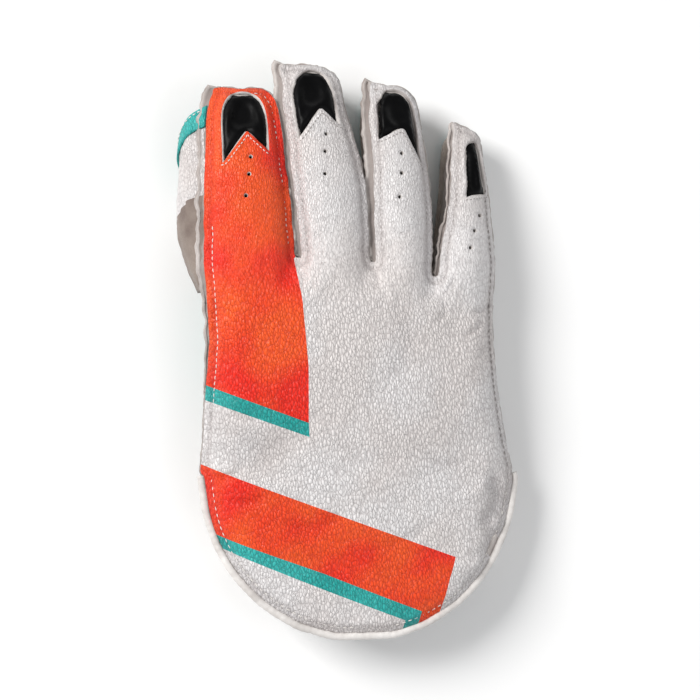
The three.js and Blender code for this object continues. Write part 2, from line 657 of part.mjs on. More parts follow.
// A sheet between two offsets from a curved surface, whose points are surface(u, v) with u and v from 0 to 1
function curvedSheet(surface, us, vs, from, to) {
  const offset = (u, v, by) => {
    const step = 1e-3;
    const alongU = surface(Math.min(u + step, 1), v).sub(surface(Math.max(u - step, 0), v));
    const alongV = surface(u, Math.min(v + step, 1)).sub(surface(u, Math.max(v - step, 0)));
    return surface(u, v).addScaledVector(alongU.cross(alongV).normalize(), by);
  };
  const layer = (by) => vs.flatMap((v) => us.flatMap((u) => offset(u, v, by).toArray()));
  const positions = [...layer(to), ...layer(from)];
  const count = vs.length * us.length;
  const triangles = [];
  for (let a = 0; a < count - us.length; a++) {
    if (a % us.length === us.length - 1) continue;
    const above = a + us.length;
    triangles.push([a, a + 1, above + 1], [a, above + 1, above]);
  }
  const faces = triangles.flatMap(([a, b, c]) => [a, b, c, a + count, c + count, b + count]);
  for (const [a, b] of boundaryEdges(triangles)) faces.push(a, a + count, b + count, a, b + count, b);
  return solidFrom(positions, faces);
}

// The folded web: from under the back's raw edge, out past the index stall, and back in to the seam of
// the thumb
function webSurface(u, v) {
  const index = FINGERS[0];
  const along = (top) => lerp(WEB_LOW, top, v);
  const upY = along(WEB_TOP) * HAND_LENGTH;
  const downY = along(WEB_TOP - WEB_SLANT) * HAND_LENGTH;
  const edgeX = leftEdgeX(index, upY);
  const upZ = backInner(edgeX, upY) - 2 * SEAM_GAP - SIDE_LEATHER / 2;
  const downZ = THUMB_HEIGHT / 2;
  const thumbX = thumbLeftX(downY) - SEAM_GAP - SIDE_LEATHER / 2;
  const clear = edgeX - SIDE_LEATHER;
  const bulge = WEB_BULGE * Math.sin(Math.PI / 2 * Math.min(v / WEB_FULL, 1));
  const at = (x, share) => new THREE.Vector3(x, lerp(upY, downY, share), lerp(upZ, downZ, share));
  const out = WEB_FOLD.map((fold) => clear - fold.bulge * bulge);
  const last = WEB_FOLD.length - 1;
  out[last] = Math.min(out[last], thumbX);
  const path = new THREE.CatmullRomCurve3([
    at(edgeX + BACK_FIN - SIDE_LEATHER, 0),
    ...WEB_FOLD.map((fold, i) => at(out[i], fold.share)),
    at(thumbX, 1),
  ]);
  return path.getPoint(u);
}

function leftEdgeX(finger, y) {
  const share = (y - HAND_LENGTH) / fingerLength(finger);
  if (share < 0) return HAND_WIDTH * curveAt(SIDES, 'left', y / HAND_LENGTH);
  const shoulder = HAND_WIDTH * (finger.tipX - finger.tipHalf);
  const middle = HAND_WIDTH * (finger.middleX - finger.middleHalf);
  return curveAt([
    { along: 0, x: HAND_WIDTH * curveAt(SIDES, 'left', 1) },
    { along: MIDDLE_STATION, x: middle },
    { along: SHOULDER_STATION, x: shoulder },
    { along: 1, x: shoulder + HAND_WIDTH * finger.tipHalf * WEB_TIP_TUCK },
  ], 'x', share);
}

function thumbLeftX(y) {
  const reach = (y - axis.from.y) / axis.dy;
  const share = reach / axis.length;
  const past = Math.max(reach - axis.length, 0) / thumbHalf(1);
  return axis.from.x + axis.dx * reach - thumbHalf(share) * Math.sqrt(Math.max(1 - past ** 2, 0)) / axis.dy;
}

const WEB_ACROSS = Array.from({ length: WEB_COLUMNS + 1 }, (_, i) => i / WEB_COLUMNS);
const STRIP_START = 1 - WEB_STRIP_WIDTH / ((WEB_TOP - WEB_LOW) * HAND_LENGTH);
const WEB_ALONG = Array.from({ length: WEB_ROWS }, (_, i) => STRIP_START * i / (WEB_ROWS - 1));

const web = () => curvedSheet(webSurface, WEB_ACROSS, [...WEB_ALONG, 1], -SIDE_LEATHER / 2, SIDE_LEATHER / 2);

function webStrip() {
  const across = WEB_ACROSS.filter((u) => u >= WEB_STRIP_START && u <= WEB_STRIP_END);
  const from = SIDE_LEATHER / 2 + SEAM_GAP;
  return curvedSheet(webSurface, across, [STRIP_START, 1], from, from + WEB_STRIP_WALL);
}

// A bound edge is a tube along the edge of a flap, slotted for the leather that it wraps
function binding(inset, outer, inner, startAngle) {
  const centre = CUFF_CENTRE * HAND_WIDTH;
  const points = [];
  const steps = Math.round((180 - 2 * startAngle) / BINDING_STEP);
  for (let step = 0; step <= steps; step++) {
    const degrees = lerp(startAngle, 180 - startAngle, step / steps);
    const x = centre - (CUFF_WIDTH / 2 - inset) * Math.cos(radians(degrees));
    const y = -(CUFF_LENGTH - inset) * Math.sin(radians(degrees));
    points.push(new THREE.Vector3(x, y, (outer(x, y) + inner(x, y)) / 2));
  }
  const section = new THREE.Shape(Array.from({ length: BINDING_SIDES }, (_, i) => {
    const angle = (i + 0.5) * 2 * Math.PI / BINDING_SIDES;
    return new THREE.Vector2(BINDING_RADIUS * Math.cos(angle), BINDING_RADIUS * Math.sin(angle));
  }));
  const tube = new THREE.ExtrudeGeometry(section, {
    steps,
    curveSegments: 1,
    extrudePath: new THREE.CatmullRomCurve3(points),
    bevelEnabled: false,
  });
  const slot = sheetOver(
    glovePlan(inset, inset - SEAM_GAP),
    (x, y) => Math.max(outer(x, y), inner(x, y)) + SEAM_GAP,
    (x, y) => Math.min(outer(x, y), inner(x, y)) - SEAM_GAP,
  );
  return solidOf(tube).subtract(slot);
}

const WHITE = '#e9e5dd';
const TEAL = '#1fa39b';
const BLACK = '#0c0c0d';
const TAN = '#b98d62';
const leather = (color) => new THREE.MeshStandardMaterial({ color, roughness: 0.55, metalness: 0 });
const gloss = (color) => new THREE.MeshStandardMaterial({ color, roughness: 0.18, metalness: 0 });
const rubber = (color) => new THREE.MeshStandardMaterial({ color, roughness: 0.85, metalness: 0 });

const glove = new THREE.Group();

function addPiece(name, solid, material) {
  const mesh = solid.getMesh();
  const geometry = new THREE.BufferGeometry();
  geometry.setAttribute('position', new THREE.BufferAttribute(new Float32Array(mesh.vertProperties), 3));
  geometry.setIndex([...mesh.triVerts]);
  const piece = new THREE.Mesh(geometry, material);
  piece.name = name;
  glove.add(piece);
}

addPiece('back_panel', backPanel(), leather(WHITE));
FINGERS.forEach((finger, f) => {
  addPiece('finger_cap_' + finger.name, fingerCap(WINDOWS[f]), gloss(BLACK));
  addPiece('sidewall_' + finger.name, sideWall(fingerZone(f)), leather(WHITE));
});
addPiece('sidewall_hand_inner', sideWall(handSideZone(-FAR)), leather(WHITE));
addPiece('sidewall_hand_outer', sideWall(handSideZone(FAR)), leather(WHITE));
addPiece('palm_panel', palmPanel(), leather(WHITE));
addPiece('palm_facing', palmFacing(), rubber(TEAL));
addPiece('thumb_back', thumbBack(), leather(WHITE));
addPiece('thumb_palm', thumbPalm(), rubber(TEAL));
addPiece('web', web(), leather(TAN));
addPiece('web_strip', webStrip(), leather(TEAL));
addPiece('cuff_binding_back', binding(0, backOuter, backInner, BINDING_START), leather(WHITE));
addPiece('cuff_binding_palm', binding(CUFF_SETBACK, palmOuter, palmInner, SIDE_END_ANGLE), leather(WHITE));

// The origin is under the middle of the glove, on the floor
const box = new THREE.Box3().setFromObject(glove);
const middle = box.getCenter(new THREE.Vector3());
glove.position.set(-middle.x, -middle.y, -box.min.z);

export default glove;
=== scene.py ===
"""The looks of a right-hand wicketkeeping glove: pebble leather, raw seams, moulded caps and stitches.

Plan positions and heights are in millimetres in the row frame, and meshes are made in metres. Each soft
piece takes its outline and its heights from the CAD node that it stands for, and adds folds and wear,
with grime and painted shade darkening its colour.
"""

import math

import bpy
import numpy as np
from mathutils import Matrix, Vector, noise
from mathutils.bvhtree import BVHTree
from mathutils.geometry import delaunay_2d_cdt
from mathutils.kdtree import KDTree


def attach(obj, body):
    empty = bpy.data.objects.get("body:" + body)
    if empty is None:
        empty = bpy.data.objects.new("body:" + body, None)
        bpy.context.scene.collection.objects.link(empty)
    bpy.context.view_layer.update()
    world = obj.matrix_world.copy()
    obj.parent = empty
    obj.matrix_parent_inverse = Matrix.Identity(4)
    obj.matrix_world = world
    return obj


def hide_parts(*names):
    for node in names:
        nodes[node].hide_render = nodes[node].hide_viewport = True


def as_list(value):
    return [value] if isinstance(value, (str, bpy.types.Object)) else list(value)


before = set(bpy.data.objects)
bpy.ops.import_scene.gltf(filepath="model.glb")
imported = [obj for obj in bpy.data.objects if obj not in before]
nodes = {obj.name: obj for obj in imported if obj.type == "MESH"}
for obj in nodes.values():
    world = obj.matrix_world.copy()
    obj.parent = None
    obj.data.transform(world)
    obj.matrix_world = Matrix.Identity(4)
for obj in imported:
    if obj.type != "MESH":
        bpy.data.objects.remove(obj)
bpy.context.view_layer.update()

MM = 0.001
COARSE = 1.0  # how much longer the meshes' edges are
LEATHER = 1.9
SIDE_LEATHER = 1.3
WEB_LEATHER = 1.5
STRIP_LEATHER = 1.2
RUBBER_SHEET = 1.5
THUMB_RUBBER = 1.6
SEAM = 3.3  # from a panel's raw edge to its seam
CUFF_SEAM = 3.4
PUCKER = 3.3  # from one stitch's pucker to the next
SEWN_GAP = 0.25  # between two sheets that are sewn together
FINGERS = ["index", "middle", "ring", "little"]
FINGER_MIDDLES = [-59, -18, 24, 65]  # x of the windows' middles
CROTCHES = [(-30.1, 50.1), (9.3, 48.2), (43.6, 41.2)]
WRIST = -62.8  # y of the wrist line
CUFF_SIDE_END = -117.4  # y where the side walls end and the flaps part
SIDE_SPLIT = 25.9  # y where the strips of the hand's sides meet those of the outer fingers

PHOTO_MIDDLE = (507.6, 334.5)
PHOTO_SCALE = 0.53


def from_photo(points):
    """Places measured in the photo's pixels, as plan positions."""
    return [((x - PHOTO_MIDDLE[0]) * PHOTO_SCALE, (PHOTO_MIDDLE[1] - y) * PHOTO_SCALE) for x, y in points]


# The CAD nodes as outlines and smooth heights


def cad_mesh(name):
    """A CAD node's points in millimetres and its triangles."""
    mesh = nodes[name].data
    mesh.calc_loop_triangles()
    points = np.empty(len(mesh.vertices) * 3)
    mesh.vertices.foreach_get("co", points)
    triangles = np.empty(len(mesh.loop_triangles) * 3, np.int32)
    mesh.loop_triangles.foreach_get("vertices", triangles)
    return points.reshape(-1, 3) / MM, triangles.reshape(-1, 3)


def unit(vectors):
    """The vectors made 1 long."""
    return vectors / np.maximum(np.linalg.norm(vectors, axis=-1, keepdims=True), 1e-9)


def counterclockwise(loop):
    x, y = loop[:, 0], loop[:, 1]
    return loop if (x * np.roll(y, -1) - y * np.roll(x, -1)).sum() > 0 else loop[::-1]


def face_loops(name, upward, steepest=0.3):
    """The closed edges, in plan, of a CAD node's faces that look up, or down. Longest first."""
    points, triangles = cad_mesh(name)
    a, b, c = (points[triangles[:, k]] for k in range(3))
    facing = unit(np.cross(b - a, c - a))[:, 2] * (1 if upward else -1)
    keys = [tuple(p) for p in np.round(points, 2)]
    directed = set()
    for triangle in triangles[facing > steepest]:
        corners = [keys[corner] for corner in triangle]
        directed.update(zip(corners, corners[1:] + corners[:1]))
    following = {start: end for start, end in directed if (end, start) not in directed}
    loops = []
    while following:
        start = next(iter(following))
        loop = []
        at = start
        while at in following:
            loop.append(at[:2])
            at = following.pop(at)
        loops.append(np.array(loop))
    loops.sort(key=lambda loop: -np.abs(np.diff(loop, axis=0)).sum())
    return [counterclockwise(loop) for loop in loops if len(loop) > 2]


def blurred(values, sigma):
    """Gaussian sums along both axes, with nothing past the borders."""
    reach = min(int(3 * sigma) + 1, (min(values.shape) - 1) // 2)
    kernel = np.exp(-0.5 * (np.arange(-reach, reach + 1) / sigma) ** 2)
    for axis in (0, 1):
        values = np.apply_along_axis(lambda row: np.convolve(row, kernel, "same"), axis, values)
    return values


def smoothstep(t):
    t = np.clip(t, 0, 1)
    return t * t * (3 - 2 * t)


class HeightField:
    """One side of some CAD nodes as a smooth height over the plan, carried on past holes and edges."""

    STEP = 1.5
    MARGIN = 14
    SCALES = (16, 7, 3, 1.4)  # in cells, widest first
    RIDGE = 1e-4  # keep a fit steady where little is known: of a full weight, and of a slope's
    SLOPE_RIDGE = 0.02
    TRUST_START = 0.04  # of a full weight: from here on a fit counts, and past the reach it counts whole
    TRUST_REACH = 0.12

    def __init__(self, names, from_above, skipped=None):
        meshes = [cad_mesh(name) for name in names]
        tops = np.cumsum([0] + [len(points) for points, _ in meshes])
        points = np.vstack([points for points, _ in meshes])
        triangles = np.vstack([triangles + top for (_, triangles), top in zip(meshes, tops)])
        tree = BVHTree.FromPolygons(points.tolist(), triangles.tolist())
        low, high = points.min(0) - self.MARGIN, points.max(0) + self.MARGIN
        self.low = low[:2]
        self.counts = np.ceil((high - low)[:2] / self.STEP).astype(int) + 1
        start, way = (high[2], Vector((0, 0, -1))) if from_above else (low[2], Vector((0, 0, 1)))
        heights = np.full(self.counts, np.nan)
        for i in range(self.counts[0]):
            x = low[0] + i * self.STEP
            for j in range(self.counts[1]):
                y = low[1] + j * self.STEP
                hit = tree.ray_cast(Vector((x, y, start)), way)[0]
                if hit is not None and not (skipped and skipped(x, y)):
                    heights[i, j] = hit[2]
        self.grid = self.smoothed(heights)

    def smoothed(self, heights):
        """Planes fitted round each cell, over ever shorter reaches."""
        known = ~np.isnan(heights)
        weight = known.astype(float)
        middle = np.where(known, heights, 0).sum() / weight.sum()
        filled = np.where(known, heights - middle, 0)
        i, j = np.meshgrid(*(np.arange(n, dtype=float) for n in heights.shape), indexing="ij")
        result = np.zeros_like(heights)
        for sigma in self.SCALES:
            total = blurred(weight, sigma)
            full = 2 * math.pi * sigma**2
            si, sj = blurred(weight * i, sigma) - i * total, blurred(weight * j, sigma) - j * total
            sii = blurred(weight * i * i, sigma) - 2 * i * (si + i * total) + i * i * total
            sjj = blurred(weight * j * j, sigma) - 2 * j * (sj + j * total) + j * j * total
            sij = blurred(weight * i * j, sigma) - i * (sj + j * total) - j * (si + i * total)
            sij += i * j * total
            sh = blurred(filled, sigma)
            shi, shj = blurred(filled * i, sigma) - i * sh, blurred(filled * j, sigma) - j * sh
            ridge = self.RIDGE * full
            slack = self.SLOPE_RIDGE * sigma**2 * (total + ridge)
            matrix = np.stack(
                [
                    np.stack([total + ridge, si, sj], -1),
                    np.stack([si, sii + slack, sij], -1),
                    np.stack([sj, sij, sjj + slack], -1),
                ],
                -2,
            )
            fit = np.linalg.solve(matrix, np.stack([sh, shi, shj], -1)[..., None])[..., 0, 0]
            trust = smoothstep((total / full - self.TRUST_START) / self.TRUST_REACH)
            result = result * (1 - trust) + fit * trust
        return result + middle

    def __call__(self, x, y):
        x, y = np.broadcast_arrays(np.asarray(x, float), np.asarray(y, float))
        u = np.clip((x - self.low[0]) / self.STEP, 0, self.counts[0] - 1.001)
        v = np.clip((y - self.low[1]) / self.STEP, 0, self.counts[1] - 1.001)
        i, j = u.astype(int), v.astype(int)
        u, v = u - i, v - j
        g = self.grid
        near = g[i, j] * (1 - u) + g[i + 1, j] * u
        far = g[i, j + 1] * (1 - u) + g[i + 1, j + 1] * u
        return near * (1 - v) + far * v


SPLINE_PARTS = 12  # between two points
INSIDE_BATCH = 4000  # points that are tested at a time


def resampled(loop, step, closed=True):
    """A loop or a line through the same points, evenly spaced along a spline without overshoots."""
    loop = np.asarray(loop, float)
    count = len(loop)
    dense = []
    for k in range(count if closed else count - 1):
        if closed:
            p = [loop[(k + n) % count] for n in (-1, 0, 1, 2)]
        else:
            p = [loop[min(max(k + n, 0), count - 1)] for n in (-1, 0, 1, 2)]
        gaps = [max(np.linalg.norm(p[n + 1] - p[n]) ** 0.5, 1e-4) for n in range(3)]
        t0, t1, t2, t3 = 0, gaps[0], gaps[0] + gaps[1], sum(gaps)
        for t in np.linspace(t1, t2, SPLINE_PARTS, endpoint=False):
            a1 = (t1 - t) / (t1 - t0) * p[0] + (t - t0) / (t1 - t0) * p[1]
            a2 = (t2 - t) / (t2 - t1) * p[1] + (t - t1) / (t2 - t1) * p[2]
            a3 = (t3 - t) / (t3 - t2) * p[2] + (t - t2) / (t3 - t2) * p[3]
            b1 = (t2 - t) / (t2 - t0) * a1 + (t - t0) / (t2 - t0) * a2
            b2 = (t3 - t) / (t3 - t1) * a2 + (t - t1) / (t3 - t1) * a3
            dense.append((t2 - t) / (t2 - t1) * b1 + (t - t1) / (t2 - t1) * b2)
    dense.append(loop[0] if closed else loop[-1])
    dense = np.array(dense)
    reach = np.concatenate([[0], np.cumsum(np.linalg.norm(np.diff(dense, axis=0), axis=1))])
    parts = max(int(round(reach[-1] / step)), 3)
    at = np.linspace(0, reach[-1], parts + 1)
    line = np.stack([np.interp(at, reach, dense[:, k]) for k in range(dense.shape[1])], -1)
    return line[:-1] if closed else line


def inward(path, closed=True, window=1):
    """The normals to the left of a path in plan, which point into a loop that runs counterclockwise."""
    if not closed:
        tangent = np.gradient(path, axis=0)[:, :2]
    else:
        tangent = (np.roll(path, -1, 0) - np.roll(path, 1, 0))[:, :2]
        for _ in range(window):
            tangent = (np.roll(tangent, 1, 0) + 2 * tangent + np.roll(tangent, -1, 0)) / 4
    tangent = unit(tangent)
    return np.stack([-tangent[:, 1], tangent[:, 0]], -1)


def inside(points, loop):
    """Whether each point is inside a closed loop, in plan."""
    a, b = loop, np.roll(loop, -1, 0)
    found = np.zeros(len(points), bool)
    for start in range(0, len(points), INSIDE_BATCH):
        batch = slice(start, start + INSIDE_BATCH)
        x, y = points[batch, 0, None], points[batch, 1, None]
        crosses = (a[:, 1] > y) != (b[:, 1] > y)
        rise = np.where(crosses, b[:, 1] - a[:, 1], 1)
        at = a[:, 0] + (y - a[:, 1]) / rise * (b[:, 0] - a[:, 0])
        found[batch] = (crosses & (x < at)).sum(1) % 2 == 1
    return found


def tree_of(path):
    """A search tree over points in plan."""
    tree = KDTree(len(path))
    for k, p in enumerate(path):
        tree.insert((p[0], p[1], 0), k)
    tree.balance()
    return tree


class Edge:
    """A closed edge in plan that tells how near it is and how far along it that is."""

    def __init__(self, loop, step=0.5):
        self.loop = loop
        self.path = resampled(loop, step)
        self.step = step
        self.tree = tree_of(self.path)

    def near(self, points):
        found = [self.tree.find((x, y, 0)) for x, y in points[:, :2]]
        return np.array([f[2] for f in found]), np.array([f[1] for f in found])

    def depth(self, points):
        """How far inside the edge each place is. It is negative outside."""
        near, _ = self.near(points)
        return np.where(inside(points, self.loop), near, -near)


def rough(points, scale, seed=0.0):
    """Smooth noise from -1 to 1 at places that may have one to three numbers each."""
    points = np.asarray(points, float).reshape(len(points), -1)
    flat = np.zeros((len(points), 3))
    flat[:, : points.shape[1]] = points / scale
    return np.array([noise.noise(Vector((x + seed, y - seed, z + 0.5 * seed))) for x, y, z in flat])


# Materials


class Shader:
    """A material's nodes, added from its textures to its surface."""

    def __init__(self, name, **values):
        self.material = bpy.data.materials.new(name)
        self.material.use_nodes = True
        self.tree = self.material.node_tree
        self.surface = self.tree.nodes["Principled BSDF"]
        self.set(self.surface, values)

    def set(self, node, values):
        for key, value in values.items():
            socket = node.inputs[key]
            if isinstance(value, bpy.types.NodeSocket):
                self.tree.links.new(value, socket)
            else:
                socket.default_value = value

    def add(self, kind, values=None, output=0, **settings):
        node = self.tree.nodes.new("ShaderNode" + kind)
        for key, value in settings.items():
            setattr(node, key, value)
        self.set(node, values or {})
        return node.outputs[output]

    def place(self, scale=(1, 1, 1), turn=0.0):
        position = self.add("TexCoord", output=3)
        turned = self.add("Mapping", {"Vector": position, "Rotation": (0, 0, math.radians(turn))})
        return self.add("Mapping", {"Vector": turned, "Scale": scale})

    def noise(self, vector, scale, detail=2.0, roughness=0.5, output=0):
        values = {"Vector": vector, "Scale": scale, "Detail": detail, "Roughness": roughness}
        return self.add("TexNoise", values, output)

    def spread(self, value, low, high, to_low=0.0, to_high=1.0):
        names = ("Value", "From Min", "From Max", "To Min", "To Max")
        return self.add("MapRange", dict(zip(names, (value, low, high, to_low, to_high))))

    def sum(self, a, b, operation="ADD"):
        return self.add("Math", {0: a, 1: b}, operation=operation)

    def mix(self, share, a, b, blend="MIX"):
        return self.add("Mix", {0: share, 6: a, 7: b}, 2, data_type="RGBA", blend_type=blend)

    def bump(self, height, distance, strength=1.0):
        return self.add("Bump", {"Height": height, "Distance": distance, "Strength": strength})

    def finish(self, tone, roughness, normal):
        self.set(self.surface, {"Base Color": tone, "Roughness": roughness, "Normal": normal})


def rgb(red, green, blue):
    """A colour as it shows on a screen, from 0 to 255, as the renderer's linear one."""
    shown = np.array([red, green, blue]) / 255
    linear = np.where(shown <= 0.04045, shown / 12.92, ((shown + 0.055) / 1.055) ** 2.4)
    return (*linear.tolist(), 1.0)


# Grime and painted shade in folds and grooves darken plain leather towards this colour
DIRT_AND_SHADE = rgb(118, 104, 100)


def grain(s, width, length, turn):
    """The pebbles of an embossed grain, that wide and long in millimetres: 1 on their tops, 0 between
    them. The second value is 1 in the thin lines between them."""
    scale = 1000 / width
    place = s.place((1, width / length, width / length), turn)
    wander = s.noise(place, 0.4 * scale, 2, output=1)
    bent = s.add("VectorMath", {0: wander, 1: (0.5, 0.5, 0.5)}, operation="SUBTRACT")
    bent = s.add("VectorMath", {0: bent, 3: 1.3 / scale}, operation="SCALE")
    bent = s.add("VectorMath", {0: place, 1: bent}, operation="ADD")
    away = s.add("TexVoronoi", {"Vector": bent, "Scale": scale}, feature="F1")
    edge = s.add("TexVoronoi", {"Vector": bent, "Scale": scale}, feature="DISTANCE_TO_EDGE")
    return s.spread(away, 0.08, 0.72, 1.0, 0.0), s.spread(edge, 0.0, 0.11, 1.0, 0.0)


def hair_creases(s, stretch, scale, width):
    """Fine wandering lines, 1 in the middle of each."""
    level = s.noise(s.place(stretch), scale, 4, 0.6)
    apart = s.sum(s.sum(level, 0.5, "SUBTRACT"), 0.0, "ABSOLUTE")
    return s.spread(apart, 0.0, width, 1.0, 0.0)


def pebble_leather(name, colour, light, shade, patch, gloss=0.42, depth=0.00045):
    """Printed leather with an embossed pebble grain, fine on the fingers and coarser on the hand. patch is
    the share of the light colour in the lighter patches."""
    s = Shader(name, **{"Specular IOR Level": 0.45})
    along = s.add("SeparateXYZ", {"Vector": s.place()}, 1)
    finger = s.spread(along, 0.02, 0.08)
    coarse, coarse_lines = grain(s, 1.4, 2.7, -7)
    fine, fine_lines = grain(s, 1.0, 2.3, 2)
    pebbles = s.add("Mix", {0: finger, 2: coarse, 3: s.sum(fine, 0.66, "MULTIPLY")}, 0, data_type="FLOAT")
    cracks = s.add("Mix", {0: finger, 2: coarse_lines, 3: fine_lines}, 0, data_type="FLOAT")
    lines = hair_creases(s, (1, 0.3, 1), 420.0, 0.012)
    patches = s.noise(s.place((1, 0.8, 1), 30), 24, 2)
    fleck = s.noise(s.place((1, 0.4, 1)), 1500, 2, 0.6)
    tone = s.mix(s.spread(patches, 0.4, 0.6, 0.0, patch), colour, light)
    tone = s.mix(s.spread(pebbles, 0.0, 0.5, 0.2, 0.0), tone, shade)
    tone = s.mix(s.sum(cracks, s.spread(finger, 0, 1, 0.34, 0.15), "MULTIPLY"), tone, shade)
    tone = s.mix(s.sum(lines, 0.14, "MULTIPLY"), tone, shade)
    # An attribute darkens the leather towards its shade colour: painted shade in seam grooves, creases and
    # folds, and grime
    shade_and_grime = s.add("Attribute", output=2, attribute_name="grime_and_shade")
    tone = s.mix(s.sum(shade_and_grime, 0.7, "MULTIPLY"), tone, shade)
    height = s.sum(pebbles, s.sum(lines, 0.3, "MULTIPLY"), "SUBTRACT")
    height = s.sum(height, s.sum(cracks, 0.35, "MULTIPLY"), "SUBTRACT")
    height = s.sum(height, s.sum(fleck, 0.3, "MULTIPLY"))
    roughness = s.spread(fleck, 0.3, 0.7, gloss - 0.05, gloss + 0.1)
    s.finish(tone, roughness, s.bump(height, depth))
    return s.material


def plain_leather(name, colour, shade, roughness=0.7, scale=900.0, depth=0.0002):
    """Undyed or split leather, matt, with a fine nap."""
    s = Shader(name, **{"Sheen Weight": 0.15})
    place = s.place()
    nap = s.noise(place, scale, 5, 0.7)
    patches = s.noise(place, 70, 4, 0.6)
    tone = s.mix(s.spread(patches, 0.35, 0.7), colour, shade)
    tone = s.mix(s.spread(nap, 0.4, 0.75, 0, 0.35), tone, shade)
    # An attribute darkens it: painted shade in folds and grooves, and grime
    shade_and_grime = s.add("Attribute", output=2, attribute_name="grime_and_shade")
    tone = s.mix(s.sum(shade_and_grime, 0.8, "MULTIPLY"), tone, DIRT_AND_SHADE)
    s.finish(tone, roughness, s.bump(nap, depth, 0.8))
    return s.material


def moulded_cap(name):
    """Black moulded plastic, nearly matt, with faint flow marks and dust."""
    s = Shader(name, **{"Specular IOR Level": 0.1})
    place = s.place()
    waves = s.noise(place, 120, 2)
    dust = s.noise(place, 1600, 2, 0.7)
    tone = s.mix(s.spread(waves, 0.3, 0.8), rgb(3, 3, 4), rgb(7, 7, 8))
    s.finish(tone, s.spread(dust, 0.3, 0.8, 0.36, 0.5), s.bump(waves, 0.0003, 0.3))
    return s.material


def rubber(name, colour, shade):
    """Matt rubber, a little clouded."""
    s = Shader(name)
    place = s.place()
    cloud = s.noise(place, 60, 5, 0.65)
    fine = s.noise(place, 1500, 3)
    tone = s.mix(s.spread(cloud, 0.35, 0.7), colour, shade)
    s.finish(tone, s.spread(cloud, 0.3, 0.7, 0.62, 0.8), s.bump(fine, 0.00012, 0.6))
    return s.material


def thread(name, colour):
    """Thick matt thread, twisted."""
    s = Shader(name, **{"Sheen Weight": 0.2})
    waves = {"Vector": s.place(), "Scale": 900.0, "Distortion": 2.0}
    twist = s.add("TexWave", waves, 1, bands_direction="DIAGONAL")
    tone = s.mix(s.spread(twist, 0, 1, 0, 0.35), colour, (0.25, 0.23, 0.22, 1))
    s.finish(tone, 0.7, s.bump(twist, 0.0001, 0.5))
    return s.material


WHITE = pebble_leather("white_leather", rgb(227, 221, 219), rgb(233, 230, 230), rgb(146, 136, 135), 1.0)
ORANGE = pebble_leather("orange_print", rgb(241, 36, 8), rgb(255, 108, 32), rgb(178, 14, 6), 0.62)
TEAL = pebble_leather("teal_print", rgb(28, 164, 158), rgb(62, 192, 186), rgb(8, 100, 102), 0.6)
RAW = plain_leather("raw_edge", rgb(222, 217, 214), rgb(164, 156, 152), 0.8, 1400.0, 0.00025)
SUEDE = plain_leather("suede", rgb(150, 138, 128), rgb(112, 98, 90), 0.9, 1100.0, 0.0004)
STRIP = plain_leather("strip_leather", rgb(224, 218, 214), rgb(182, 174, 169), 0.75, 1100.0, 0.0003)
CUT_EDGE = plain_leather("cut_edge", rgb(196, 188, 184), rgb(150, 140, 135), 0.85, 1400.0, 0.00025)
LINING = plain_leather("split_side", rgb(206, 199, 190), rgb(165, 155, 146), 0.85)
PIPING = plain_leather("piping_leather", rgb(232, 228, 225), rgb(196, 190, 186), 0.55, 500.0, 0.00015)
CAP = moulded_cap("black_cap")
RUBBER = rubber("teal_rubber", rgb(28, 140, 134), rgb(18, 106, 104))
THREAD = thread("white_thread", rgb(238, 234, 228))
# Grey thread for stitches on white leather, its colour painted shade
PAINTED_SHADE_THREAD = thread("painted_shade_thread", rgb(168, 161, 158))


# Meshes


def add_object(name, points, faces, materials, stands_for=None, ids=None, grime_and_shade=None):
    """A piece of the glove, with the CAD node that it stands for. Its points are in millimetres. ids says
    which material each face has, and the last argument how much the leather is darkened at each point, or
    all over: by painted shade in grooves and folds, and by grime."""
    mesh = bpy.data.meshes.new(name)
    mesh.from_pydata((np.asarray(points) * MM).tolist(), [], [list(map(int, f)) for f in faces])
    for material in materials:
        mesh.materials.append(material)
    if ids is not None:
        mesh.polygons.foreach_set("material_index", np.asarray(ids, np.int32))
    mesh.polygons.foreach_set("use_smooth", np.ones(len(mesh.polygons), bool))
    if grime_and_shade is not None:
        layer = mesh.attributes.new("grime_and_shade", "FLOAT", "POINT")
        layer.data.foreach_set("value", np.full(len(points), grime_and_shade, np.float32))
    mesh.update()
    piece = bpy.data.objects.new(name, mesh)
    bpy.context.scene.collection.objects.link(piece)
    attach(piece, "root")
    if stands_for:
        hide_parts(stands_for)
    return piece


def thicken(piece, thickness, rim=0):
    """Gives a sheet its thickness, half to each side. rim is its edge's material."""
    solid = piece.modifiers.new("thickness", "SOLIDIFY")
    solid.thickness = thickness * MM
    solid.offset = 0
    solid.use_even_offset = False
    solid.use_quality_normals = True
    solid.material_offset_rim = rim


ROW_SHARE = 0.866  # from one row to the next, as a share of the pitch
LINE_SHARE = 0.62  # from a kept line to the nearest other point, as a share of the spacing
LEAST_UP = 0.25  # of a normal's height, where a sheet is steep


def staggered(low, high, pitch):
    """Points over a box in plan, in rows of which each second one is shifted by half a pitch."""
    rows = np.arange(low[1], high[1], pitch * ROW_SHARE)
    columns = np.arange(low[0], high[0], pitch)
    return np.array([(x + (pitch / 2 if r % 2 else 0), y) for r, y in enumerate(rows) for x in columns])


